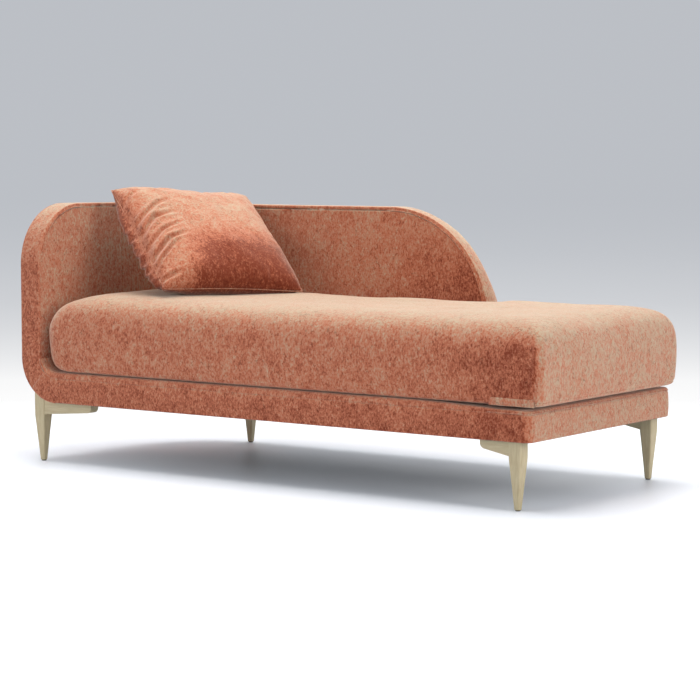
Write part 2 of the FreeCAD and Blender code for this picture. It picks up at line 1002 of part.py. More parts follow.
# Legs: square with rounded edges, straight at the top and tapered to the foot
under_tool = prism(
    "above_underside", "XZ", zero, depth,
    [
        (zero, sill_top),
        left(sill, underside, sill),
        (length, underside),
        (length, height),
        (zero, height),
    ],
)


def rounded_square(x, y, side, radius):
    half = as_size(side) / 2
    west = x - half
    east = x + half
    south = y - half
    north = y + half
    return [
        left(west + radius, south, radius),
        (east - radius, south),
        left(east, south + radius, radius),
        (east, north - radius),
        left(east - radius, north, radius),
        (west + radius, north),
        left(west, north - radius, radius),
        (west, south + radius),
    ]


leg_edge = cell("leg_edge")
glide_top = cell("glide_height")
taper_top = underside - cell("leg_straight")
dowel_hole = cell("dowel_diameter") + cell("hole_clearance")
dowel_length = cell("dowel_in_leg") + cell("dowel_in_wing")
dowels = []
glides = []
for place, (leg_x, leg_y) in LEG_PLACES.items():
    body = doc.addObject("PartDesign::Body", f"{place}_leg_blank")
    foot = add_sketch(body, "XY", glide_top, rounded_square(leg_x, leg_y, cell("leg_foot"), leg_edge))
    knee = add_sketch(body, "XY", taper_top, rounded_square(leg_x, leg_y, cell("leg_side"), leg_edge))
    taper = body.newObject("PartDesign::AdditiveLoft", f"{place}_taper")
    taper.Profile = foot
    taper.Sections = [knee]
    add_prism(
        body, "XY", taper_top, sill_top - taper_top,
        rounded_square(leg_x, leg_y, cell("leg_side"), leg_edge),
    )
    side, wing_length = LEG_WINGS[place]
    wing_thick = cell("wing_thick")
    wing_root = leg_x + half_leg * side
    wing_end = wing_root + wing_length * side
    tip = cell("wing_tip_radius")
    wing_bottom = underside - cell("wing_height")
    tip_bottom = wing_bottom + cell("wing_slope_drop")
    bend = left if side > 0 else right
    wing = prism(
        f"{place}_wing_blank", "XZ", leg_y - wing_thick / 2, wing_thick,
        [
            (wing_root, sill_top),
            (wing_root, wing_bottom),
            (wing_end - tip * side, tip_bottom),
            bend(wing_end, tip_bottom + tip, tip),
            (wing_end, sill_top),
        ],
    )
    dowel_start = wing_root - cell("dowel_in_leg") if side > 0 else wing_root - cell("dowel_in_wing")
    dowel_z = underside - cell("dowel_drop")
    hole = cylinder(f"{place}_dowel_hole", dowel_start, leg_y, dowel_z, dowel_hole, dowel_length, "X")
    dowels.append(cylinder(
        f"{place}_dowel", dowel_start, leg_y, dowel_z, cell("dowel_diameter"), dowel_length, "X"
    ))
    finish(f"{place}_leg", cut(f"{place}_leg", body, under_tool, holes[place], hole))
    finish(f"{place}_wing", cut(f"{place}_wing", wing, under_tool, hole, screw_ways[place]))
    glides.append(cylinder(
        f"{place}_glide", leg_x, leg_y, zero, cell("glide_diameter"), cell("glide_height")
    ))
finish("wing_dowels", group("wing_dowels", dowels))
finish("foot_glides", group("foot_glides", glides))

doc.recompute()


def settle(piece, onto, gap):
    """Lowers a piece in small measured steps until it rests that far above the other."""
    shape = piece.copy()
    drop = 0.0
    for _ in range(40):
        clear = shape.distToShape(onto)[0] - gap
        if clear < 0.01:
            break
        shape.translate(FreeCAD.Vector(0, 0, -clear))
        drop += clear
    return drop


# The pillow leans as it was laid, and is lowered onto the seat cushion
turn = FreeCAD.Rotation(FreeCAD.Vector(0, 0, 1), sheet.pillow_turn)
roll = FreeCAD.Rotation(FreeCAD.Vector(0, 1, 0), sheet.pillow_roll)
tilt = FreeCAD.Rotation(FreeCAD.Vector(1, 0, 0), sheet.pillow_tilt)
pose = turn.multiply(roll).multiply(tilt)
pillow_middle = FreeCAD.Vector(sheet.pillow_side / 2, sheet.pillow_side / 2, 0)
start_height = height.number + sheet.pillow_side
pillow_seat = FreeCAD.Vector(sheet.pillow_x, (depth - cell("pillow_to_back")).number, start_height)
pillow_place = FreeCAD.Placement(pillow_seat - pose.multVec(pillow_middle), pose)
hanging = parts["pillow_cover"].Shape.copy()
hanging.Placement = pillow_place
fall = settle(hanging, parts["seat_cushion_cover"].Shape, sheet.rest_gap)
print("pillow middle height", round(start_height - fall, 2))

# Every piece is labelled and placed so that the part is centred over the origin
origin_x = zero - overall_length / 2
origin_y = zero - depth / 2
for name, piece in parts.items():
    piece.Label = name
    if name.startswith("pillow"):
        piece.Placement = pillow_place
        put(
            piece, origin_x + pillow_place.Base.x, origin_y + pillow_place.Base.y,
            pillow_place.Base.z - fall,
        )
    else:
        put(piece, origin_x, origin_y, zero)
doc.recompute()

for item in doc.Objects:
    if "Invalid" in item.State or "Error" in item.State:
        raise RuntimeError(f"{item.Name} failed: {item.State}")
for name, piece in parts.items():
    if piece.Shape.isNull() or not piece.Shape.isValid():
        raise RuntimeError(f"{name} has no valid shape")
os.makedirs("parts", exist_ok=True)
for name, piece in parts.items():
    piece.Shape.exportStep(f"parts/{name}.step")
print(len(parts), "pieces written")
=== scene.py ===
import math

import bmesh
import bpy
import numpy as np
from mathutils import Matrix, Vector, noise


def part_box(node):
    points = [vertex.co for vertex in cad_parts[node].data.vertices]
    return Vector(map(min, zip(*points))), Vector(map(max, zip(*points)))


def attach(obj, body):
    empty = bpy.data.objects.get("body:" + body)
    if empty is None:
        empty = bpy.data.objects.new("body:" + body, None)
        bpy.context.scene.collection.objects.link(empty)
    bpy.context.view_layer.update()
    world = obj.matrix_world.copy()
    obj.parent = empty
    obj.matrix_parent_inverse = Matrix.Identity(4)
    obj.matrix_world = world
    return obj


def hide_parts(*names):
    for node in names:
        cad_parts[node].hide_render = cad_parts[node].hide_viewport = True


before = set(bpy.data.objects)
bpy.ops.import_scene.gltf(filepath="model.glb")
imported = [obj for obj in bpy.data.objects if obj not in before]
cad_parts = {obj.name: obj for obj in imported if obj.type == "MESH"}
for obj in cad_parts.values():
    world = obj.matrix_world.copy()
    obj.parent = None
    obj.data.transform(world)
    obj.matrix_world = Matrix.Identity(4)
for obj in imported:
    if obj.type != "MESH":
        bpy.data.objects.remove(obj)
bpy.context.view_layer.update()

# Sizes in millimetres, drawn from the outer left face of the arm (x = 0), the front (y = 0)
# and the floor (z = 0). Those that the frame gives are read from its boxes.
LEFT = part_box("arm_outer_cover")[0].x
FRONT_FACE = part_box("base_band_cover")[0].y
LENGTH = round((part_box("base_band_cover")[1].x - LEFT) * 1000)
DEPTH = round((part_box("base_band_cover")[1].y - FRONT_FACE) * 1000)
OVERALL = round((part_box("seat_cushion_cover")[1].x - LEFT) * 1000)
UNDER = round(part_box("base_band_cover")[0].z * 1000)
DECK_TOP = round(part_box("deck_cover")[1].z * 1000)
TOP = round(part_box("arm_rim_cover")[1].z * 1000)
REACH = round((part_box("back_rim_cover")[1].x - LEFT) * 1000)
BAND_TOP = 240
THICK = 68
CORNER = 360
SILL = 126
NOSE = 170
BACK_ROUND = 330
END_ROUND = 24
SILL_TOP = UNDER + SILL
ARM_END = DEPTH - CORNER
NOSE_BASE = TOP - NOSE
SHOULDER = REACH - BACK_ROUND
BACK_NOSE_BASE = TOP - BACK_ROUND
INNER_ARC = SILL - THICK
CORNER_RUN = (CORNER - THICK / 2) * math.pi / 2
RUN = ARM_END + CORNER_RUN + REACH - CORNER

# Radius of a rolled panel edge, depth of a seam's groove, thickness of the cloth, distance
# in metres within which points are joined, and longest step across a strip
ROLL = 3.5
SEAM_DROP = 1.2
CLOTH = 1.6
WELD = 0.00002
STRIP_STEP = 6.0


def row(points):
    """Drawing millimetres to the row frame in metres."""
    return np.asarray(points, float) / 1000.0 + np.array([LEFT, FRONT_FACE, 0.0])


def drawn(points):
    """The row frame in metres to drawing millimetres."""
    return (np.asarray(points, float) - np.array([LEFT, FRONT_FACE, 0.0])) * 1000.0


def along(start, end, step):
    """Evenly spaced numbers from start to end, at most step apart."""
    count = max(2, int(math.ceil(abs(end - start) / step)) + 1)
    return np.linspace(start, end, count)


def turns(start, end, step):
    """(cosine, sine) of the angles from start to end in degrees, at most step apart."""
    return [(math.cos(a), math.sin(a)) for a in np.radians(along(start, end, step))]


def smooth(x):
    """0 up to x = 0 and 1 from x = 1 on, with a soft change between them."""
    x = np.clip(x, 0.0, 1.0)
    return x * x * (3 - 2 * x)


def run_at(x, y):
    """How far along the wall, seen from above, a point lies."""
    turn = np.arctan2(y - ARM_END, CORNER - x)
    on_corner = ARM_END + CORNER_RUN * turn / (math.pi / 2)
    run = np.where(x >= CORNER, ARM_END + CORNER_RUN + x - CORNER, on_corner)
    return np.where(y <= ARM_END, y, run)


def settle_top(points):
    """The rim falls a little from the arm's nose to the back."""
    points = np.array(points, float)
    x, y, z = points[:, 0], points[:, 1], points[:, 2]
    share = np.clip((z - SILL_TOP) / (TOP - SILL_TOP), 0, 1)
    fall = 5 - 10 * smooth((run_at(x, y) - NOSE) / 800)
    points[:, 2] = z + fall * share
    return points


def ease_shoulder(points):
    """Rolls the rear edge of the back's shoulder down, where the padding is soft."""
    points = np.array(points, float)
    x, y, z = points[:, 0], points[:, 1], points[:, 2]
    across = x - SHOULDER
    rise = z - BACK_NOSE_BASE
    reach = np.maximum(np.hypot(across, rise), 1.0)
    turn = np.clip(np.arctan2(across, rise), 0, math.pi / 2)
    drop = 20 * np.clip(np.sin(2 * turn), 0, 1) ** 1.3
    drop *= np.clip(1 - (DEPTH - y) / THICK, 0, 1) ** 4 * smooth((reach - BACK_ROUND + 90) / 90)
    drop *= (across > 0) & (rise > 0)
    points[:, 0] -= drop * across / reach
    points[:, 2] -= drop * rise / reach
    return points


def lumps(points, size, depth, seed=0.0):
    """Soft uneven swelling, one number for each point."""
    scale = 1.0 / size
    return np.array([
        noise.noise(Vector((p[0] * scale + seed, p[1] * scale, p[2] * scale))) for p in points
    ]) * depth


def link(name, data):
    """A new object with this data, in the scene."""
    obj = bpy.data.objects.new(name, data)
    bpy.context.scene.collection.objects.link(obj)
    return obj


def new_form(name, points, faces, closed=False):
    """A form from points in metres. A closed one is turned outwards, and faces with more
    than four corners are cut into triangles."""
    bm = bmesh.new()
    verts = [bm.verts.new(tuple(p)) for p in points]
    for face in faces:
        bm.faces.new([verts[i] for i in face])
    if not closed:
        bm.normal_update()
    bmesh.ops.triangulate(bm, faces=[f for f in bm.faces if len(f.verts) > 4])
    if closed:
        bmesh.ops.recalc_face_normals(bm, faces=bm.faces)
    mesh = bpy.data.meshes.new(name)
    bm.to_mesh(mesh)
    bm.free()
    return link(name, mesh)


def thicken(obj, thickness):
    """Gives a sheet of cloth its thickness in millimetres, inwards."""
    solid = obj.modifiers.new("cloth", "SOLIDIFY")
    solid.thickness = thickness / 1000
    solid.offset = -1


def soften(obj):
    """One level of subdivision."""
    subdivision = obj.modifiers.new("smooth", "SUBSURF")
    subdivision.levels = 1
    subdivision.render_levels = 1


def new_sheet(name, points, faces, thickness=CLOTH):
    """A sheet of cloth from drawing millimetres, with smooth shading."""
    mesh = bpy.data.meshes.new(name)
    mesh.from_pydata([tuple(p) for p in row(points)], [], [tuple(int(i) for i in f) for f in faces])
    bm = bmesh.new()
    bm.from_mesh(mesh)
    bmesh.ops.remove_doubles(bm, verts=bm.verts, dist=WELD)
    bmesh.ops.dissolve_degenerate(bm, edges=bm.edges, dist=1e-6)
    bm.to_mesh(mesh)
    bm.free()
    mesh.validate()
    mesh.polygons.foreach_set("use_smooth", [True] * len(mesh.polygons))
    obj = link(name, mesh)
    thicken(obj, thickness)
    return obj


def grid_faces(rows, columns, closed=False):
    """Quads of a grid whose points are stored row after row."""
    faces = []
    last = columns if closed else columns - 1
    for r in range(rows - 1):
        for c in range(last):
            d = (c + 1) % columns
            a = r * columns
            b = a + columns
            faces.append((a + c, a + d, b + d, b + c))
    return faces


def facing(points, faces, outward, judged=None):
    """Turns the faces round if they look the wrong way, judged at one face.

    Outward is one direction, or a direction for each point.
    """
    middle = faces[len(faces) // 2 if judged is None else judged]
    a, b, c, d = points[list(middle)]
    normal = np.cross(b - a, c - a) + np.cross(c - a, d - a)
    nearest = np.argmin(((points - (a + b + c + d) / 4) ** 2).sum(1))
    if np.dot(normal, np.broadcast_to(outward, points.shape)[nearest]) < 0:
        return [tuple(reversed(f)) for f in faces]
    return faces


def rolled_edge():
    """How far each point of a panel's rolled edge lies from the sharp edge, and its height.

    The first two points are the seam allowance, turned in behind the neighbouring panel.
    """
    bottom = ROLL * (1 - math.sqrt(0.5)) + SEAM_DROP
    profile = [(bottom + 2.0, -bottom - 3.0), (bottom - 0.2, -bottom - 0.4)]
    for angle in (40, 32, 22, 11, 0):
        a = math.radians(angle)
        profile.append((ROLL - ROLL * math.sin(a), -ROLL * (1 - math.cos(a))))
    return profile


def flat_seam():
    """The same for a seam between two panels that lie in one plane."""
    return [(-0.6, -1.5), (0.5, -0.8), (2.0, -0.25), (4.5, 0.0)]


def strip_profile(first, end, crown):
    """(distance across, height) over a strip as wide as the wall, from edge to edge."""
    last = [(THICK - d, h) for d, h in reversed(end)]
    middle = [(t, 0.0) for t in along(first[-1][0], last[0][0], STRIP_STEP)[1:-1]]
    profile = []
    for t, h in first + middle + last:
        profile.append((t, h + crown * (1 - (2 * t / THICK - 1) ** 2)))
    return profile


def strip(name, frames, profile, swell=0.5):
    """A band of cloth. A frame is (point on its first edge, direction across, outward)."""
    points = []
    normals = []
    for origin, across, outward in frames:
        origin, across, outward = np.array((origin, across, outward), float)
        for t, h in profile:
            points.append(origin + across * t + outward * h)
            normals.append(outward)
    points = np.array(points)
    normals = np.array(normals)
    if swell:
        points = points + normals * lumps(points, 45.0, swell)[:, None]
    faces = grid_faces(len(frames), len(profile))
    middle = (len(frames) // 2) * (len(profile) - 1) + len(profile) // 2
    faces = facing(points, faces, normals, middle)
    return new_sheet(name, settle_top(ease_shoulder(points)), faces)


def rim_frames():
    """The rim: up the front of the arm from the mitre, over its nose, along the top round
    the corner and the back, and down the back's end."""
    frames = []
    for c, s in turns(225, 180, 2.2):
        frames.append(((SILL + SILL * c, 0, SILL_TOP + SILL * s), (-c, 0, -s), (0, -1, 0)))
    for z in along(SILL_TOP, NOSE_BASE, 7)[1:]:
        frames.append(((0, 0, z), (1, 0, 0), (0, -1, 0)))
    for c, s in turns(0, 90, 2.0)[1:]:
        frames.append(((0, NOSE - NOSE * c, NOSE_BASE + NOSE * s), (1, 0, 0), (0, -c, s)))
    for y in along(NOSE, ARM_END, 7)[1:]:
        frames.append(((0, y, TOP), (1, 0, 0), (0, 0, 1)))
    for c, s in turns(0, 90, 1.1)[1:]:
        frames.append(((CORNER - CORNER * c, ARM_END + CORNER * s, TOP), (c, -s, 0), (0, 0, 1)))
    for x in along(CORNER, SHOULDER, 7)[1:]:
        frames.append(((x, DEPTH, TOP), (0, -1, 0), (0, 0, 1)))
    for c, s in turns(0, 90, 1.2)[1:]:
        spot = (SHOULDER + BACK_ROUND * s, DEPTH, BACK_NOSE_BASE + BACK_ROUND * c)
        frames.append((spot, (0, -1, 0), (s, 0, c)))
    for z in along(BACK_NOSE_BASE, BAND_TOP - 4, 7)[1:]:
        frames.append(((REACH, DEPTH, z), (0, -1, 0), (1, 0, 0)))
    return frames


rim = strip("rim_band", rim_frames(), strip_profile(rolled_edge(), rolled_edge(), 1.0))


# Flat and curved wall panels are drawn as (run along the wall, height) and laid onto the
# outer or the inner side of the wall
def wall_point(run, height, depth_in):
    """Points and outward directions on the wall, depth_in millimetres inside its outer side."""
    run = np.asarray(run, float)
    height = np.asarray(height, float)
    radius = CORNER - depth_in
    turn = np.clip((run - ARM_END) / CORNER_RUN, 0, 1) * (math.pi / 2)
    c, s = np.cos(turn), np.sin(turn)
    on_arm = run <= ARM_END
    on_back = run > ARM_END + CORNER_RUN
    x = np.where(on_arm, depth_in, CORNER - radius * c)
    y = np.where(on_arm, run, ARM_END + radius * s)
    x = np.where(on_back, CORNER + run - ARM_END - CORNER_RUN, x)
    z = height.copy()
    nx = -c
    ny = s
    nz = np.zeros_like(nx)
    under = on_arm & (height < SILL_TOP) & (depth_in < 1)
    angle = np.clip((SILL_TOP - height) / SILL, 0, math.pi / 2)
    x = np.where(under, SILL - SILL * np.cos(angle), x)
    z = np.where(under, SILL_TOP - SILL * np.sin(angle), z)
    nx = np.where(under, -np.cos(angle), nx)
    ny = np.where(under, 0, ny)
    nz = np.where(under, -np.sin(angle), nz)
    return np.stack([x, y, z], -1), np.stack([nx, ny, nz], -1)


def wall_panel(name, depth_in, start, end, bottom, rows, nose_ring, end_ring, seam=None):
    """A wall panel from one run to another, with rolled edges where it meets the rim."""
    side = 1 if depth_in == 0 else -1
    inset = ROLL + 6
    profile = rolled_edge() + [(ROLL + 2.5, 0.0)]
    columns = []
    if nose_ring:
        for b in np.radians(along(0, 90, 2.5)):
            columns.append(("nose", b))
    first = NOSE if nose_ring else start
    last = RUN - BACK_ROUND if end_ring else end
    runs = list(along(first, last, 7.0)[1 if nose_ring else 0:])
    if seam:
        runs = [r for r in runs if abs(r - seam) > 8]
        runs = sorted(runs + [seam + d for d in (-6, -3.5, -1.6, 0, 1.6, 3.5, 6)])
    for run in runs:
        columns.append(("top", run))
    if end_ring:
        for b in np.radians(along(90, 0, 1.5))[1:]:
            columns.append(("end", b))

    def edge(column, d):
        kind, value = column
        if kind == "nose":
            radius = NOSE - d
            return NOSE - radius * math.cos(value), NOSE_BASE + radius * math.sin(value)
        if kind == "end":
            radius = BACK_ROUND - d
            run = RUN - BACK_ROUND + radius * math.cos(value)
            return run, BACK_NOSE_BASE + radius * math.sin(value)
        return value, TOP - d

    flat = []
    for column in columns:
        run, high = edge(column, inset)
        low = bottom(run)
        for q in range(rows + 1):
            flat.append((run, low + (high - low) * q / rows))
    count = rows + 1
    heights = [0.0] * len(flat)
    faces = grid_faces(len(columns), count)

    # rings from the inset outline to the rim
    loop = []
    if nose_ring:
        for q in range(count):
            loop.append((("left", flat[q][1]), q))
    for k, column in enumerate(columns):
        if not (nose_ring and k == 0):
            loop.append((column, k * count + rows))
    if end_ring:
        base = (len(columns) - 1) * count
        for q in range(rows - 1, -1, -1):
            loop.append((("right", flat[base + q][1]), base + q))
    previous = [index for _, index in loop]
    for d, h in reversed(profile):
        current = []
        for place, _ in loop:
            kind, value = place
            if kind == "left":
                spot = (d, value)
            elif kind == "right":
                spot = (RUN - d, value)
            else:
                spot = edge(place, d)
            current.append(len(flat))
            flat.append(spot)
            heights.append(h)
        for i in range(len(loop) - 1):
            faces.append((previous[i], previous[i + 1], current[i + 1], current[i]))
        previous = current
    flat = np.array(flat)
    heights = np.array(heights)
    points, outward = wall_point(flat[:, 0], flat[:, 1], depth_in)
    outward = outward * side
    inner = heights == 0
    room = np.minimum(flat[:, 0] - start if nose_ring else 200, TOP - flat[:, 1])
    swell = 2.5 * smooth(room / 120) + lumps(points, 90.0, 1.1, 3.0)
    if seam:
        swell = swell - 2.2 * np.exp(-((flat[:, 0] - seam) / 2.2) ** 2)
    points = points + outward * (heights + np.where(inner, swell, 0) * smooth(room / 30))[:, None]
    faces = facing(points, faces, outward)
    return new_sheet(name, settle_top(ease_shoulder(points)), faces)


# Just past the arm's end, where the corner starts
PAST_ARM = ARM_END + 0.001


def crease(run):
    """Height of the wall's lower edge: it meets the rounded left edge of the underside."""
    if run <= ARM_END:
        return SILL_TOP - SILL * math.pi / 2
    turn = min((run - ARM_END) / CORNER_RUN, 1.0) * math.pi / 2
    x = CORNER - CORNER * math.cos(turn)
    if x >= SILL:
        return UNDER
    return SILL_TOP - math.sqrt(SILL ** 2 - (SILL - x) ** 2)


def inner_foot(run):
    """Height of the inner panel's lower edge, just under the platform."""
    return DECK_TOP - 4


arm_outer = wall_panel("arm_outer_panel", 0, 0, ARM_END, crease, 90, True, False)
shell_outer = wall_panel("back_outer_panel", 0, PAST_ARM, RUN, crease, 80, False, True)
shell_inner = wall_panel("inner_panel", THICK, 0, RUN, inner_foot, 70, True, True, ARM_END - 20)


def corner_under():
    """Cloth under the rounded corner, from the wall's lower edge to the arm's end."""
    points = []
    rows = 24
    angles = np.radians(along(0, 90, 1.5))
    for b in angles:
        depth = CORNER * math.sin(b)
        z = crease(PAST_ARM + CORNER_RUN * b / (math.pi / 2))
        for r in range(rows + 1):
            points.append((CORNER - CORNER * math.cos(b), ARM_END + depth * r / rows, z))
    points = np.array(points)
    faces = facing(points, grid_faces(len(angles), rows + 1), (0, 0, -1))
    return new_sheet("corner_under_panel", points, faces)


under_corner = corner_under()


def plan_round():
    """(x, y, outward) round the base, from the left of the front to the back's end."""
    radius = END_ROUND
    spots = [(x, 0, (0, -1, 0)) for x in along(SILL, LENGTH - radius, 8)]
    for c, s in turns(0, 90, 5)[1:]:
        spots.append((LENGTH - radius + radius * s, radius - radius * c, (s, -c, 0)))
    spots += [(LENGTH, y, (1, 0, 0)) for y in along(radius, DEPTH - radius, 8)[1:]]
    for c, s in turns(0, 90, 5)[1:]:
        spots.append((LENGTH - radius + radius * c, DEPTH - radius + radius * s, (c, s, 0)))
    spots += [(x, DEPTH, (0, 1, 0)) for x in along(LENGTH - radius, REACH + 1, 8)[1:]]
    return spots


def band_frames():
    """The base band: from the mitre round the lower left, then round the base's plan."""
    frames = []
    for c, s in turns(225, 270, 2.2):
        frames.append(((SILL + INNER_ARC * c, 0, SILL_TOP + INNER_ARC * s), (c, 0, s), (0, -1, 0)))
    for x, y, outward in plan_round()[1:]:
        frames.append(((x, y, BAND_TOP), (0, 0, -1), outward))
    return frames


band = strip("base_band", band_frames(), strip_profile(flat_seam(), rolled_edge(), 1.8))


def hem_frames():
    """The hem of the band, turned in under the base."""
    return [((x, y, UNDER), (-nx, -ny, 0), (0, 0, -1)) for x, y, (nx, ny, _) in plan_round()]


hem = strip("base_hem", hem_frames(), rolled_edge() + [(12, 0), (18, 0), (22, 1.0)], swell=0.0)


# Width of the platform's edge strip, how far the fill at the arm's foot runs in behind the
# corner's wall, and the thickness and level of the platform's cloth
PLATFORM_EDGE = 105
FILL_END = ARM_END + 180
DECK_CLOTH = 1.2
DECK_LEVEL = DECK_TOP - 0.6


def inset_point(x, y, outward, depth_in):
    """A point that far inside the base's plan, with square inner corners."""
    px = x - outward[0] * depth_in
    py = y - outward[1] * depth_in
    if depth_in > END_ROUND:
        px = min(px, LENGTH - depth_in)
        py = min(max(py, depth_in), DEPTH - depth_in)
    return px, py


def platform_height(x):
    """The platform sinks a little towards its open end."""
    return DECK_TOP - BAND_TOP - 7.5 * float(smooth((x - 1330) / 320))


def deck_edge():
    """Edge of the seat platform above the band, and the curved fill at the arm's foot."""
    points = []
    normals = []
    rows = 0
    far_level = DECK_LEVEL - BAND_TOP
    for c, s in turns(3, 90, 3):
        origin = np.array((SILL - INNER_ARC * c, 0, SILL_TOP - INNER_ARC * s))
        rise = max(platform_height(0) * s, 1.5)
        for t, depth_in in edge_section(rise, far_level * s, FILL_END):
            points.append(origin + np.array((c, 0, s)) * t + np.array((0, depth_in, 0)))
            normals.append((0, -1, 0))
        rows += 1
    for x, y, outward in plan_round()[1:]:
        for t, depth_in in edge_section(platform_height(x), far_level, PLATFORM_EDGE):
            points.append((*inset_point(x, y, outward, depth_in), BAND_TOP + t))
            normals.append(outward)
        rows += 1
    points = np.array(points)
    faces = facing(points, grid_faces(rows, len(points) // rows), np.array(normals))
    return new_sheet("deck_edge", points, faces, DECK_CLOTH)


def edge_section(rise, far_level, far):
    """(height, depth in) from the band's seam over the rounded edge and inwards."""
    radius = min(15.0, rise * 0.85)
    spots = [(-0.8, 2.4), (0.6, 1.3), (1.6, 0.6), (min(3.2, max(rise * 0.3, 1.8)), 0.1)]
    for angle in range(8, 91, 12):
        a = math.radians(angle)
        spots.append((rise - radius + radius * math.sin(a), radius * (1 - math.cos(a))))
    for share in (0.08, 0.2, 0.4, 0.6, 0.8, 1.0):
        height = rise + (far_level - rise) * float(smooth(share))
        spots.append((height, radius + (far - radius) * share))
    return spots


platform_edge = deck_edge()


def deck_top():
    """The flat cloth under the seat cushion, inside the edge strip and the walls."""
    inset = PLATFORM_EDGE - 3
    wall = THICK + 1
    radius = CORNER - wall
    outline = [
        (LENGTH - inset, inset), (LENGTH - inset, DEPTH - inset),
        (REACH + 4, DEPTH - inset), (REACH + 4, DEPTH - wall),
    ]
    outline += [(CORNER - radius * c, ARM_END + radius * s) for c, s in turns(90, 0, 3)]
    outline.append((wall, inset))
    obj = new_form("deck_top", row([(x, y, DECK_LEVEL) for x, y in outline]), [range(len(outline))])
    thicken(obj, DECK_CLOTH)
    return obj


platform = deck_top()


# Seat cushion: rings round an outline with a step behind the back's end, level by level,
# closed above and below. GAP is its distance from the walls, FRONT its distance from the
# front and rear faces. Points lie closer within SEAM_ZONE of the sewn corner. The top rings
# shrink from CROWN_INSET onto a RIDGE along the middle.
CUSHION_THICK = 215
GAP = 8
FRONT = 2
FRONT_LEFT = 60
FRONT_RIGHT = 20
REAR_RIGHT = 44
NOTCH_ROUND = 24
SEAM_ZONE = 170
CROWN_INSET = 160
CROWN_LEVEL = 215.3
RIDGE = (420, OVERALL - 330)
FOLD_CLOTH = 1.4


def cushion_ring(inset, left_inset):
    """The outline of the seat cushion, always with the same number of points."""
    west = THICK + GAP + left_inset
    east = OVERALL - inset
    south = FRONT + inset
    north = DEPTH - FRONT - inset
    back = DEPTH - THICK - GAP - inset
    notch = REACH + GAP + inset
    shell = max(CORNER - THICK - GAP - inset, 20)
    points = []

    def line(a, b, count):
        for i in range(count):
            points.append((a[0] + (b[0] - a[0]) * i / count, a[1] + (b[1] - a[1]) * i / count))

    def arc(cx, cy, radius, start, end, count):
        for i in range(count):
            angle = math.radians(start + (end - start) * i / count)
            points.append((cx + radius * math.cos(angle), cy + radius * math.sin(angle)))

    fine_start = OVERALL - 250 - SEAM_ZONE
    fine_end = 230 + SEAM_ZONE / 2
    line((west + FRONT_LEFT, south), (fine_start, south), 100)
    line((fine_start, south), (east - FRONT_RIGHT, south), 100)
    arc(east - FRONT_RIGHT, south + FRONT_RIGHT, FRONT_RIGHT, -90, 0, 12)
    line((east, south + FRONT_RIGHT), (east, fine_end), 70)
    line((east, fine_end), (east, north - REAR_RIGHT), 30)
    arc(east - REAR_RIGHT, north - REAR_RIGHT, REAR_RIGHT, 0, 90, 10)
    line((east - REAR_RIGHT, north), (notch + NOTCH_ROUND, north), 40)
    arc(notch + NOTCH_ROUND, north - NOTCH_ROUND, NOTCH_ROUND, 90, 180, 6)
    line((notch, north - NOTCH_ROUND), (notch, back + NOTCH_ROUND), 4)
    arc(notch - NOTCH_ROUND, back + NOTCH_ROUND, NOTCH_ROUND, 0, -90, 6)
    line((notch - NOTCH_ROUND, back), (west + shell, back), 76)
    arc(west + shell, back - shell, shell, 90, 180, 40)
    line((west, back - shell), (west, south + FRONT_LEFT), 30)
    arc(west + FRONT_LEFT, south + FRONT_LEFT, FRONT_LEFT, 180, 270, 12)
    return np.array(points)


# (height above the deck, inset, inset of the left side) from the bottom to the top
CUSHION_LEVELS = [
    (0.4, 170, 180), (0.4, 100, 116), (0.4, 60, 88), (0.4, 34, 66), (1.0, 20, 54),
    (3.0, 11, 44), (6, 6, 34), (9.5, 3.6, 27), (12, 3.0, 22.5), (13.5, 4.0, 21),
    (15, 2.4, 18.5), (19, 1.2, 14), (25, 0.4, 10), (33, 0, 6), (44, -0.8, 3),
    (56, -1.6, 1), (68, -2.2, 0), (80, -2.6, -1), (92, -2.8, -1), (104, -2.8, -1),
    (116, -2.5, -1), (128, -1.8, 0), (139, -0.6, 1), (149, 1.2, 3), (158, 3.6, 6),
    (167, 7.0, 9), (175, 11.2, 13), (183, 17, 18), (190, 24, 25), (196, 32.5, 33),
    (201, 42, 43), (205, 54, 55), (208.5, 68, 69), (211, 84, 85), (213, 104, 105),
    (214.4, 130, 131), (CROWN_LEVEL, CROWN_INSET, CROWN_INSET + 1),
]


def build_cushion():
    """The plain cushion, with its bottom and the middle of its top closed."""
    rings = []
    for height, inset, left_inset in CUSHION_LEVELS:
        ring = cushion_ring(inset, left_inset)
        rings.append(np.column_stack([ring, np.full(len(ring), DECK_TOP + height)]))
    outline = cushion_ring(CROWN_INSET, CROWN_INSET + 1)
    count = len(outline)
    ridge = np.column_stack([np.clip(outline[:, 0], *RIDGE), np.full(count, DEPTH / 2)])
    for share in (0.15, 0.3, 0.45, 0.6, 0.75, 0.88):
        ring = outline + (ridge - outline) * share
        rings.append(np.column_stack([ring, np.full(count, DECK_TOP + CROWN_LEVEL + 0.7 * share)]))
    faces = grid_faces(len(rings), count, closed=True)
    last = count * (len(rings) - 1)
    faces += [range(count - 1, -1, -1), range(last, last + count)]
    return new_form("seat_cushion", row(np.concatenate(rings)), faces, closed=True)


def read_vertices(obj, what):
    """One row of three numbers for each vertex: its place (co) or its normal."""
    values = np.empty(len(obj.data.vertices) * 3)
    obj.data.vertices.foreach_get(what, values)
    return values.reshape(-1, 3)


def set_points(obj, points):
    obj.data.vertices.foreach_set("co", points.ravel())
    obj.data.update()


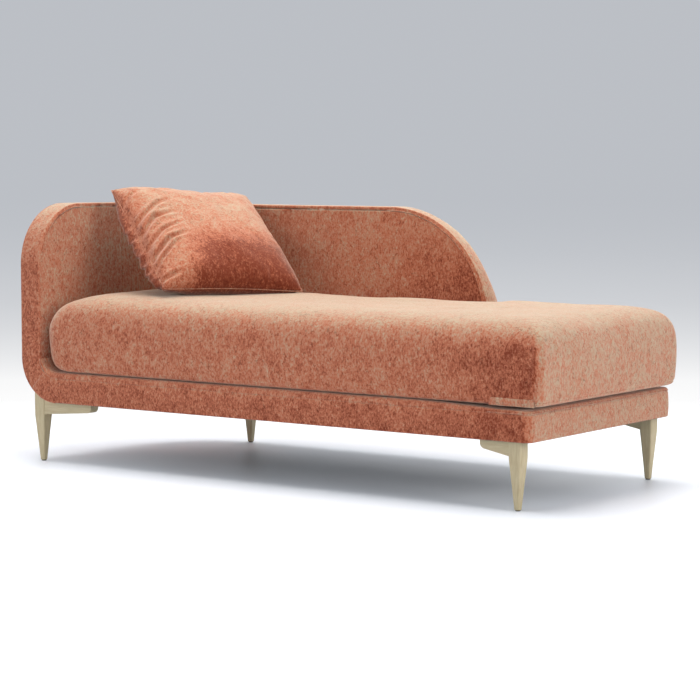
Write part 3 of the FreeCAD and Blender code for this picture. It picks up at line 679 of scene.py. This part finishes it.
def line_reach(points, spots):
    """Distance from each point to a run of spots, and the share along the run."""
    spots = [np.array(s, float) for s in spots]
    lengths = [np.linalg.norm(b - a) for a, b in zip(spots[:-1], spots[1:])]
    total = sum(lengths)
    nearest = np.full(len(points), 1e9)
    share_along = np.zeros(len(points))
    passed = 0.0
    for a, b, size in zip(spots[:-1], spots[1:], lengths):
        ab = b - a
        share = np.clip(((points - a) @ ab) / (ab @ ab), 0, 1)
        away = np.linalg.norm(points - a - share[:, None] * ab, axis=1)
        closer = away < nearest
        share_along = np.where(closer, (passed + share * size) / total, share_along)
        nearest = np.minimum(nearest, away)
        passed += size
    return nearest, share_along


# The seam up the cushion's front right corner, from the deck to the top panel
CORNER_SEAM = [
    (OVERALL - 27, 4, DECK_TOP + 10), (OVERALL - 18, 3, DECK_TOP + 45),
    (OVERALL - 7, 5, DECK_TOP + 110), (OVERALL - 8, 9, DECK_TOP + 150),
    (OVERALL - 22, 20, DECK_TOP + 182),
]

# The cushion's long folds: (places as x, y and height above the deck, depth, width)
CUSHION_FOLDS = [
    ([(OVERALL, 22, 178), (OVERALL, 60, 160), (OVERALL, 80, 118)], 2.6, 7),
    ([(OVERALL - 2, 30, 188), (OVERALL, 84, 172), (OVERALL, 120, 130)], 1.8, 8),
    ([(OVERALL, 16, 60), (OVERALL, 44, 34), (OVERALL, 90, 20)], 1.6, 7),
    ([(OVERALL - 60, 2, 150), (OVERALL - 100, 0, 120)], 1.3, 8),
    ([(OVERALL - 250, 0, 150), (OVERALL - 330, 0, 70)], 1.0, 14),
    ([(620, 0, 160), (560, 0, 60)], 1.0, 16),
]


def bell(x):
    """1 at x = 0, falling to nothing on both sides."""
    return np.exp(-(x ** 2))


def dress_cushion(obj):
    """Swells the plain cushion and lays its seam, sag and folds."""
    points = read_vertices(obj, "co")
    normals = read_vertices(obj, "normal")
    mm = drawn(points)
    x, y = mm[:, 0], mm[:, 1]
    rise = mm[:, 2] - DECK_TOP
    height = rise / CUSHION_THICK
    side = smooth(height / 0.15)
    push = lumps(mm, 170.0, 3.0, 1.7) * side
    push += lumps(mm, 60.0, 1.3, 9.1) * side
    push += 6.5 * bell((x - 270) / 210) * np.clip(normals[:, 2], 0, 1) * smooth(height)
    near, share = line_reach(mm, CORNER_SEAM)
    fade = smooth(share / 0.1) * smooth((1 - share) / 0.12)
    sink = 14 * (1 - smooth((x - THICK - GAP) / 170)) * (1 - smooth((y - 60) / 260))
    points[:, 2] -= sink * smooth((rise - 90) / 90) / 1000
    push -= 3.0 * bell(near / 4.0) * fade
    push += 1.2 * bell((near - 10) / 7.0) * fade
    # folds that fan out from the seam over both faces
    folds = bell(near / 42) * smooth(near / 8)
    wave = np.sin((rise - 0.35 * near) / 4.6 + 1.6 * np.sin(rise / 23))
    push += 0.85 * folds * wave * smooth((rise - 20) / 60) * smooth((230 - rise) / 60)
    for places, depth, width in CUSHION_FOLDS:
        away, share = line_reach(mm, [(px, py, DECK_TOP + pz) for px, py, pz in places])
        taper = np.sin(math.pi * np.clip(share, 0.04, 0.96)) ** 0.5
        push -= depth * bell(away / width) * taper
        push += 0.5 * depth * bell((away - 1.9 * width) / width) * taper
    points = points + normals * push[:, None] / 1000
    points[:, 2] = np.maximum(points[:, 2], (DECK_TOP + 0.4) / 1000)
    set_points(obj, points)


cushion = build_cushion()
dress_cushion(cushion)
soften(cushion)


def corner_fold():
    """The end panel's cloth, which turns under the cushion's front edge beside the corner."""
    points = []
    rows = 0
    start = OVERALL - 152
    for x in along(start, OVERALL - 20, 4):
        share = (x - start) / 132
        lean = 10 * (1 - float(smooth(share / 0.16)))
        for t in along(0, 20, 2):
            up = t / 20
            lift = 1.5 * math.sin(math.pi * up) ** 0.5 * float(smooth(share / 0.2))
            y = FRONT - lift + 3.2 * (1 - up) ** 2
            points.append((x + lean * up, y, DECK_TOP + 1.2 + t))
        rows += 1
    points = np.array(points)
    points[:, 1] -= lumps(points, 30.0, 0.5, 4.0)
    faces = facing(points, grid_faces(rows, len(points) // rows), (0, -1, 0))
    return new_sheet("cushion_corner_fold", points, faces, FOLD_CLOTH)


fold = corner_fold()

# Pillow: made flat about the origin, then laid where the CAD one lies. DRAW is how far the
# middle of an edge is drawn in, CORNER how far a corner is tucked in. A crease is (places on
# the flat pillow, depth, width).
PILLOW = 456
PILLOW_THICK = 150
PILLOW_DRAW = 13
PILLOW_CORNER = 7
PILLOW_CREASES = [
    ([(-224, 132), (-205, 152), (-150, 175)], 4.0, 8),
    ([(-226, 20), (-206, 46), (-146, 92), (-78, 122)], 8.0, 8),
    ([(-226, -30), (-214, -8), (-166, 40), (-80, 54)], 9.0, 8),
    ([(-226, -84), (-206, -56), (-165, -20), (-84, 6)], 8.0, 7),
    ([(-226, -126), (-208, -106), (-164, -64), (-82, -42)], 11.0, 8),
    ([(-226, -152), (-210, -134), (-167, -97), (-136, -80)], 7.0, 6),
    ([(-226, -200), (-196, -192), (-160, -187)], 7.0, 7),
    ([(228, 40), (190, 60), (150, 64)], 2.6, 9),
    ([(228, -60), (186, -50), (150, -44)], 2.2, 9),
    ([(-120, 228), (-100, 180), (-60, 150)], 2.5, 12),
    ([(60, 228), (52, 190), (30, 160)], 2.6, 10),
    ([(150, 228), (140, 196), (150, 160)], 2.6, 9),
    ([(120, -228), (112, -200), (120, -170)], 2.4, 8),
]


def pillow_plan(a, b):
    """Where a place on the square, -1 to 1 both ways, lies on the flat pillow."""
    half = PILLOW / 2
    tuck = PILLOW_CORNER * abs(a * b) ** 5
    x = a * (half - PILLOW_DRAW * (1 - b * b) * abs(a) ** 3 - tuck)
    y = b * (half - PILLOW_DRAW * (1 - a * a) * abs(b) ** 3 - tuck)
    return x, y


def build_pillow():
    """Two crowned faces sewn together at an edge that is drawn in between the corners."""
    count = 104
    spots = []
    index = {}
    faces = []

    def place(i, j, sign):
        """The number of this grid point. The two faces share the points of the edge."""
        key = (i, j, 0 if i in (0, count) or j in (0, count) else sign)
        if key not in index:
            index[key] = len(spots)
            a = 2 * i / count - 1
            b = 2 * j / count - 1
            fall = (1 - abs(a) ** 3.0) * (1 - abs(b) ** 3.0)
            z = sign * PILLOW_THICK / 2 * max(fall, 0) ** 0.52 * (1 - 0.16 * b)
            spots.append((*pillow_plan(a, b), z))
        return index[key]

    for sign in (1, -1):
        for i in range(count + 1):
            for j in range(count + 1):
                place(i, j, sign)
    for sign in (1, -1):
        for i in range(count):
            for j in range(count):
                corners = [(i, j), (i + 1, j), (i + 1, j + 1), (i, j + 1)]
                faces.append([place(*corner, sign) for corner in corners[::sign]])
    spots = np.array(spots)
    x, y = spots[:, 0], spots[:, 1]
    face_up = spots[:, 2] > 0.01
    face_down = spots[:, 2] < -0.01
    edge_near = np.clip(1 - np.maximum(np.abs(x), np.abs(y)) / (PILLOW / 2), 0, 1)
    push = 8 * np.exp(-(((x + 160) / 65) ** 2) - ((y - 185) / 45) ** 2)
    push -= 5 * np.exp(-(((x - 60) / 70) ** 2) - ((y - 190) / 40) ** 2)
    push += lumps(spots, 110.0, 6.0, 2.2) * smooth(edge_near / 0.2)
    push += lumps(spots, 38.0, 2.4, 6.2) * smooth(edge_near / 0.12)
    for places, depth, width in PILLOW_CREASES:
        away, share = line_reach(spots * (1, 1, 0), [(px, py, 0) for px, py in places])
        taper = smooth((1 - share) / 0.55) * smooth(edge_near / 0.03)
        push -= depth * bell(away / width) * taper * np.where(face_up, 1.0, 0.6)
        push += 0.75 * depth * bell((away - 1.5 * width) / (0.8 * width)) * taper
    # small gathers all along the sewn edge
    edge_run = np.where(np.abs(x) > np.abs(y), y, x)
    gather = np.sin(edge_run / 5.2 + 2 * np.sin(edge_run / 31))
    push += 1.3 * (gather * bell(edge_near / 0.07) * smooth(edge_near / 0.02))
    spots[:, 2] += np.where(face_up, push, np.where(face_down, -push, 0))
    # the weight of the pillow swells its left side out under the seam
    ends = smooth((y + 225) / 60) * smooth((215 - y) / 120)
    spots[:, 0] -= 24 * face_down * bell((x + 203) / 20) * ends
    return new_form("pillow", spots / 1000, faces)


# The CAD pillow's turn, and its middle from the CAD box
PILLOW_POSE = Matrix.Rotation(math.radians(67.6), 3, "Z")
PILLOW_POSE = PILLOW_POSE @ Matrix.Rotation(math.radians(2.6), 3, "Y")
PILLOW_POSE = PILLOW_POSE @ Matrix.Rotation(math.radians(37.1), 3, "X")
PILLOW_MIDDLE = np.array(sum(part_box("pillow_cover"), Vector()) / 2)


def lay_pillow(obj):
    """Turns and moves what was made flat to where the CAD pillow lies."""
    set_points(obj, read_vertices(obj, "co") @ np.array(PILLOW_POSE).T + PILLOW_MIDDLE)


def pillow_edge():
    """The corded seam round the pillow, a thin roll of the same cloth."""
    ring = []
    for side in range(4):
        for t in along(-1, 1, 0.04)[:-1]:
            x, y = pillow_plan(t, -1)
            y -= 0.8
            for _ in range(side):
                x, y = -y, x
            ring.append((x, y))
    ring = np.array(ring)
    points = []
    around = 8
    radius = 1.4
    for spot, before, after in zip(ring, np.roll(ring, 1, 0), np.roll(ring, -1, 0)):
        tangent = (after - before) / np.linalg.norm(after - before)
        sideways = np.array([tangent[1], -tangent[0]])
        for k in range(around):
            angle = 2 * math.pi * k / around
            x, y = spot + sideways * radius * math.cos(angle)
            points.append((x / 1000, y / 1000, radius * math.sin(angle) / 1000))
    faces = []
    for a in range(0, len(points), around):
        b = (a + around) % len(points)
        for k in range(around):
            m = (k + 1) % around
            faces.append((a + k, a + m, b + m, b + k))
    return new_form("pillow_seam", points, faces, closed=True)


pillow = build_pillow()
pillow_flat = read_vertices(pillow, "co") * 1000
lay_pillow(pillow)
pillow_seam = pillow_edge()
lay_pillow(pillow_seam)
soften(pillow)


def common_painted_light(normals):
    """Painted light: paler on what faces up, lit from above, and half as pale on what faces the open
    end, lit from the side.
    """
    up = np.clip(normals[:, 2], 0, 1)
    open_end = np.clip(normals[:, 0], 0, 1)
    return 0.42 + 0.42 * up ** 1.5 + 0.24 * open_end ** 2


def paint_light_and_tone(obj, extra=None):
    """Painted light and shade with some random tone, one number at each point: 0 dark, 1 pale."""
    for polygon in obj.data.polygons:
        polygon.use_smooth = True
    normals = read_vertices(obj, "normal")
    mm = drawn(read_vertices(obj, "co"))
    # painted light on tops and the open end, random tone from the lumps, then each piece's own
    # painted light and shade
    painted_light_and_tone = common_painted_light(normals)
    painted_light_and_tone += lumps(mm, 70.0, 0.10, 5.0) + lumps(mm, 24.0, 0.05, 8.0)
    if extra is not None:
        painted_light_and_tone += extra(mm, normals, np.clip(-normals[:, 1], 0, 1))
    attribute = obj.data.attributes.new("painted_light_and_tone", "FLOAT", "POINT")
    attribute.data.foreach_set("value", np.clip(painted_light_and_tone, 0, 1).astype(np.float32))


# What each piece adds to the common painted light, as more painted light and shade, from its
# points in drawing millimetres, its normals, and how far these face the front
def cushion_painted_light_and_shade(mm, normals, facing_front):
    # Painted light: the end panel's cloth paler, also where it turns round the front corner. Painted
    # shade: the front darker towards its right end and lower down.
    seam_x = np.interp(mm[:, 2], [s[2] for s in CORNER_SEAM], [s[0] for s in CORNER_SEAM])
    on_end = (mm[:, 0] > seam_x) & (mm[:, 1] < 60)
    front = facing_front * (mm[:, 0] <= seam_x)
    dark = front * smooth((mm[:, 0] - 1330) / 330) * smooth((DECK_TOP + 190 - mm[:, 2]) / 60)
    return 0.16 * on_end * smooth((1 - normals[:, 0]) * 2) - 0.26 * dark


def inner_painted_light_and_shade(mm, normals, facing_front):
    # Painted shade: the back's inner face darker towards its lower right end, and the arm's inner
    # side (facing the open end) darker; a little painted light on what faces the front.
    far = smooth((mm[:, 0] - 700) / 380) * smooth((700 - mm[:, 2]) / 180)
    return facing_front * (0.07 - 0.28 * far) - 0.12 * np.clip(normals[:, 0], 0, 1) ** 2


def band_painted_shade(mm, normals, facing_front):
    # Painted shade: the band's front darker, more so towards its right end.
    return -0.14 * facing_front - 0.08 * facing_front * smooth((mm[:, 0] - 1350) / 250)


def rim_painted_light_and_shade(mm, normals, facing_front):
    # Painted light: the rim's top, back from the front, set pale, less so where it faces the open
    # end. Painted shade: its front darker.
    top = smooth((mm[:, 1] - 60) / 120)
    painted_top_light = 0.86 - 0.16 * np.clip(normals[:, 0], 0, 1) - common_painted_light(normals)
    return painted_top_light * top - 0.10 * facing_front * (1 - top)


def platform_painted_shade(mm, normals, facing_front):
    # Painted shade: the platform under the cushion loses most of the painted top light, and its
    # front is a little darker.
    return -0.34 * np.clip(normals[:, 2], 0, 1) - 0.06 * facing_front


def pillow_seam_nap(mm, normals, facing_front):
    return -0.15


def fold_painted_light_and_shade(mm, normals, facing_front):
    # Painted light near the end panel, like the end's painted light; painted shade towards the
    # fold's other end.
    return 0.30 * smooth((mm[:, 0] - OVERALL + 150) / 14) - 0.1


def pillow_painted_shade(mm, normals, facing_front):
    # Painted shade: the whole pillow a little darker, its lower part much darker away from its left
    # edge, and its underside darker.
    lower = smooth((40 - pillow_flat[:, 1]) / 235) ** 1.3
    under = (pillow_flat[:, 2] < -1) * 0.7
    return -0.16 - 0.96 * lower * smooth((pillow_flat[:, 0] + 175) / 150) - under


def feed(tree, made, inputs):
    """Sets inputs of a node, or links those whose value comes from another node."""
    for key, value in inputs.items():
        if isinstance(value, bpy.types.NodeSocket):
            tree.links.new(value, made.inputs[key])
        else:
            made.inputs[key].default_value = value


def add_node(tree, kind, inputs=None, **settings):
    """A new shader node of this kind, with its settings and inputs."""
    made = tree.nodes.new("ShaderNode" + kind)
    for key, value in settings.items():
        setattr(made, key, value)
    feed(tree, made, inputs or {})
    return made


def material(name):
    """A new material, its node tree and its main shader."""
    made = bpy.data.materials.new(name)
    made.use_nodes = True
    return made, made.node_tree, made.node_tree.nodes["Principled BSDF"]


def grain_noise(tree, scale, detail, roughness=0.55, stretch=(1, 1, 1), distortion=0.0):
    """Noise fixed to the object, stretched along its axes."""
    place = add_node(tree, "TexCoord").outputs["Object"]
    mapping = add_node(tree, "Mapping", {"Scale": stretch, "Vector": place})
    return add_node(tree, "TexNoise", {
        "Vector": mapping.outputs["Vector"], "Scale": scale, "Detail": detail,
        "Roughness": roughness, "Distortion": distortion,
    }).outputs["Fac"]


def ramp_node(tree, source, stops):
    """The colour for a number, from (number, colour) stops."""
    ramp = add_node(tree, "ValToRGB", {"Fac": source})
    while len(ramp.color_ramp.elements) < len(stops):
        ramp.color_ramp.elements.new(0.5)
    for element, (position, colour) in zip(ramp.color_ramp.elements, stops):
        element.position = position
        element.color = (*colour, 1)
    return ramp.outputs["Color"]


def multiply(tree, factor, a, b):
    """Colour a darkened by colour b, as far as the factor says."""
    mix = add_node(tree, "Mix", {0: factor}, data_type="RGBA", blend_type="MULTIPLY")
    feed(tree, mix, {6: a, 7: b})
    return mix.outputs[2]


def calculate(tree, operation, *numbers):
    """One step of arithmetic on numbers or outputs of nodes."""
    return add_node(tree, "Math", dict(enumerate(numbers)), operation=operation).outputs[0]


def bumps(tree, *layers):
    """A normal from one bump after another: (source, strength, distance in metres)."""
    normal = {}
    for source, strength, distance in layers:
        inputs = {"Strength": strength, "Distance": distance, "Height": source, **normal}
        normal = {"Normal": add_node(tree, "Bump", inputs).outputs["Normal"]}
    return normal["Normal"]


def velvet(name, dark, middle, pale):
    """Napped cloth: woolly grain, soft patches and flecks where the pile lies differently, over the
    painted light and shade that the point attribute carries.
    """
    made, tree, shader = material(name)
    grain = grain_noise(tree, 210, 3, 0.7, (1, 1, 0.6), 0.4)
    patch = grain_noise(tree, 62, 3, 0.62, (1, 1, 0.7), 0.6)
    # the point attribute holds painted light and shade with random tone
    total = add_node(tree, "Attribute", attribute_name="painted_light_and_tone").outputs["Fac"]
    for source, weight in ((grain, 1.7), (patch, 0.8)):
        centred = calculate(tree, "SUBTRACT", source, 0.5)
        total = calculate(tree, "MULTIPLY_ADD", centred, weight, total)
    shade = ramp_node(tree, total, [(0.0, dark), (0.42, middle), (0.98, pale)])
    squiggle = grain_noise(tree, 105, 3, 0.6, (1, 1, 0.75), 1.6)
    flecks = ramp_node(tree, squiggle, [(0.365, (0.55, 0.462, 0.418)), (0.415, (1, 1, 1))])
    feed(tree, shader, {
        "Base Color": multiply(tree, 0.75, shade, flecks),
        "Roughness": 0.95,
        "Specular IOR Level": 0.1,
        "Sheen Weight": 0.5,
        "Sheen Roughness": 0.42,
        "Sheen Tint": (1.0, 0.86, 0.72, 1),
        "Normal": bumps(tree, (grain, 0.7, 0.0016), (patch, 0.4, 0.0024)),
    })
    return made


# dark is mostly the painted shade's colour and pale mostly the painted light's colour on tops and
# the open end; grain moves between them too
cloth = velvet("velvet", (0.165, 0.031, 0.013), (0.390, 0.125, 0.066), (0.382, 0.292, 0.196))


def wood(name, base, grain, axis=(9, 9, 0.9)):
    """Oiled wood, with its grain along the axis that has the small number."""
    made, tree, shader = material(name)
    rings = grain_noise(tree, 22, 5, 0.6, axis, 0.6)
    pores = grain_noise(tree, 160, 2, 0.5, (1, 1, 0.06) if axis[2] < 1 else (0.06, 1, 1))
    shade = ramp_node(tree, rings, [(0.3, grain), (0.62, base)])
    dots = ramp_node(tree, pores, [(0.3, (0.82, 0.78, 0.72)), (0.45, (1, 1, 1))])
    feed(tree, shader, {
        "Base Color": multiply(tree, 0.6, shade, dots),
        "Roughness": 0.52,
        "Specular IOR Level": 0.35,
        "Normal": bumps(tree, (pores, 0.25, 0.0006)),
    })
    return made


def plain(name, base, second, scale, rough, metallic=0.0):
    """Two close colours in a fine noise."""
    made, tree, shader = material(name)
    texture = grain_noise(tree, scale, 3)
    feed(tree, shader, {
        "Base Color": ramp_node(tree, texture, [(0.35, second), (0.65, base)]),
        "Roughness": rough,
        "Metallic": metallic,
        "Normal": bumps(tree, (texture, 0.2, 0.0005)),
    })
    return made


oak = wood("pale_oak", (0.45, 0.375, 0.235), (0.38, 0.31, 0.185))
oak_along = wood("pale_oak_wing", (0.45, 0.375, 0.235), (0.38, 0.31, 0.185), (0.9, 9, 9))
timber = wood("timber", (0.55, 0.40, 0.24), (0.42, 0.28, 0.15), (0.9, 9, 9))
steel = plain("zinc_steel", (0.62, 0.62, 0.63), (0.5, 0.5, 0.52), 300, 0.35, 1.0)
black_plastic = plain("glide_plastic", (0.035, 0.035, 0.035), (0.02, 0.02, 0.02), 200, 0.6)
dust_cloth = plain("dust_cloth", (0.03, 0.03, 0.03), (0.018, 0.018, 0.018), 700, 0.95)
webbing_cloth = plain("webbing", (0.05, 0.05, 0.05), (0.025, 0.025, 0.025), 900, 0.9)

shell_pieces = (
    rim, arm_outer, shell_outer, shell_inner, under_corner, band, hem, platform_edge, platform,
)
for piece in (*shell_pieces, cushion, fold, pillow, pillow_seam):
    piece.data.materials.clear()
    piece.data.materials.append(cloth)
# Each piece's painted light and shade, added to the common painted light; the pillow seam gets a
# darker tone.
PAINTED_LIGHT_AND_TONE = {
    cushion: cushion_painted_light_and_shade, shell_inner: inner_painted_light_and_shade, band: band_painted_shade, pillow: pillow_painted_shade,
    rim: rim_painted_light_and_shade, platform_edge: platform_painted_shade, platform: platform_painted_shade,
    pillow_seam: pillow_seam_nap, fold: fold_painted_light_and_shade,
}
for piece in (*shell_pieces, cushion, fold, pillow, pillow_seam):
    paint_light_and_tone(piece, PAINTED_LIGHT_AND_TONE.get(piece))

LEGS = ("front_left", "front_right", "rear_right", "rear_left")
CAD_LOOKS = [
    (oak, [leg + "_leg" for leg in LEGS]),
    (oak_along, [leg + "_wing" for leg in LEGS]),
    (timber, [
        "front_rail", "rear_rail", "right_rail", "cross_rails", "left_sill", "corner_sill",
        "corner_gusset", "arm_outer_board", "arm_inner_board", "arm_posts", "arm_top_batten",
        "corner_outer_board", "corner_inner_board", "corner_top_batten", "back_outer_board",
        "back_inner_board", "back_posts", "back_top_batten", "wing_dowels",
    ]),
    (steel, ["leg_bolts", "wing_screws"]),
    (black_plastic, ["foot_glides"]),
    (dust_cloth, ["dust_cover"]),
    (webbing_cloth, ["webbing"]),
]
for look, names in CAD_LOOKS:
    for node_name in names:
        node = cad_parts[node_name]
        if not node.data.materials:
            node.data.materials.append(look)
        for material_slot in node.material_slots:
            material_slot.material = look

for piece in shell_pieces:
    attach(piece, "frame")
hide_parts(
    "arm_rim_cover", "corner_rim_cover", "back_rim_cover",
    "arm_rim_pad", "corner_rim_pad", "back_rim_pad", "front_corner_pad",
)
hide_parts("arm_outer_cover", "arm_outer_pad")
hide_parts("corner_outer_cover", "corner_outer_pad", "back_outer_cover", "back_outer_pad")
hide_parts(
    "arm_inner_cover", "arm_inner_pad", "corner_inner_cover",
    "corner_inner_pad", "back_inner_cover", "back_inner_pad",
)
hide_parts("base_band_cover", "band_pad")
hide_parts("deck_cover", "deck_pad")
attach(cushion, "seat_cushion")
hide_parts("seat_cushion_core", "seat_cushion_cover")
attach(fold, "seat_cushion")
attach(pillow, "pillow")
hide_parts("pillow_fill", "pillow_cover")
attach(pillow_seam, "pillow")


# Camera solved from the outlines of the photograph
YAW = -0.623756888
PITCH = -0.085409079
FOCAL = 2236.57454
CAMERA_PLACE = (4465.76, -4606.00, 859.17)
IMAGE_WIDTH = 700
SENSOR = 36
camera_data = bpy.data.cameras.new("camera")
camera = link("camera", camera_data)
bpy.context.scene.camera = camera
level = math.cos(PITCH)
forward = Vector((math.sin(YAW) * level, math.cos(YAW) * level, math.sin(PITCH)))
right = Vector((math.cos(YAW), -math.sin(YAW), 0))
up = right.cross(forward)
place = row([CAMERA_PLACE])[0]
camera.matrix_world = Matrix((
    (right.x, up.x, -forward.x, place[0]),
    (right.y, up.y, -forward.y, place[1]),
    (right.z, up.z, -forward.z, place[2]),
    (0, 0, 0, 1),
))
camera_data.sensor_width = SENSOR
camera_data.lens = FOCAL / IMAGE_WIDTH * SENSOR
camera_data.clip_end = 200

# Floor that fades into the grey of the surroundings with the distance from FADE_MIDDLE.
# FADE is (FADE_START over the distance, share of white), in metres and linear colours.
GREY = (0.503, 0.523, 0.560)
WHITE = (1.0, 1.0, 1.0)
FADE_START = 3.3
FADE_MIDDLE = (0.876, -1.218, 0)
FADE = [
    (0.0795, 0.0), (0.136, 0.024), (0.202, 0.073), (0.278, 0.15), (0.370, 0.235),
    (0.479, 0.385), (0.613, 0.60), (0.782, 0.88), (1.0, 1.0),
]
FLOOR_HALF = 90


def show_mixed(tree, output, factor, first, second):
    """Shows the second shader as far as the factor says, and the first otherwise."""
    mix = add_node(tree, "MixShader", {0: factor, 1: first.outputs[0], 2: second.outputs[0]})
    feed(tree, tree.nodes[output], {"Surface": mix.outputs[0]})


def floor_look():
    """A matt floor, mixed by distance with the fading grey that the camera sees."""
    made, tree, shader = material("floor")
    feed(tree, shader, {
        "Base Color": (0.88, 0.91, 0.96, 1), "Roughness": 0.42, "Specular IOR Level": 0.22,
    })
    position = add_node(tree, "NewGeometry").outputs["Position"]
    away = add_node(tree, "VectorMath", {0: position, 1: FADE_MIDDLE}, operation="DISTANCE")
    distance = away.outputs["Value"]
    stops = []
    for spot, share in FADE:
        stops.append((spot, tuple(g + (w - g) * share for g, w in zip(GREY, WHITE))))
    fading = ramp_node(tree, calculate(tree, "DIVIDE", FADE_START, distance), stops)
    emission = add_node(tree, "Emission", {"Color": fading})
    spread = add_node(
        tree, "MapRange", {"From Min": 2.75, "From Max": 3.5, "Value": distance},
        interpolation_type="SMOOTHSTEP",
    ).outputs["Result"]
    by_camera = add_node(tree, "LightPath").outputs["Is Camera Ray"]
    factor = calculate(tree, "MULTIPLY", spread, by_camera)
    show_mixed(tree, "Material Output", factor, shader, emission)
    return made


floor = link("floor", bpy.data.meshes.new("floor"))
corners = [(-1, -1), (1, -1), (1, 1), (-1, 1)]
floor.data.from_pydata([(FLOOR_HALF * a, FLOOR_HALF * b, 0) for a, b in corners], [], [(0, 1, 2, 3)])
floor.data.materials.append(floor_look())


def area_light(name, spot, target, size, power, colour):
    """A square light, with places and size in metres and power in watts."""
    data = bpy.data.lights.new(name, "AREA")
    data.shape = "SQUARE"
    data.size = size
    data.energy = power
    data.color = colour
    obj = link(name, data)
    obj.location = spot
    obj.rotation_euler = (Vector(target) - Vector(spot)).to_track_quat("-Z", "Y").to_euler()


area_light("top", (-0.3, 0.1, 3.2), (0, 0, 0.2), 2.8, 128, (1.0, 0.99, 0.97))
area_light("behind", (-1.2, 3.4, 2.6), (0, 0, 0.4), 1.8, 22, (1.0, 0.99, 0.97))
area_light("end", (4.2, -0.6, 1.5), (0, 0, 0.4), 1.6, 66, (1.0, 0.985, 0.96))
area_light("fill", (-1.4, -4.6, 2.2), (0, 0, 0.35), 2.6, 44, (0.97, 0.985, 1.0))

# The surroundings light the scene a little bluish, and the camera sees them grey
world = bpy.data.worlds.new("world")
bpy.context.scene.world = world
world.use_nodes = True
world_tree = world.node_tree
lighting = world_tree.nodes["Background"]
feed(world_tree, lighting, {"Color": (0.92, 0.95, 1.0, 1), "Strength": 0.66})
seen = add_node(world_tree, "Background", {"Color": (*GREY, 1)})
seen_by_camera = add_node(world_tree, "LightPath").outputs["Is Camera Ray"]
show_mixed(world_tree, "World Output", seen_by_camera, lighting, seen)

bpy.context.scene.view_settings.view_transform = "Standard"
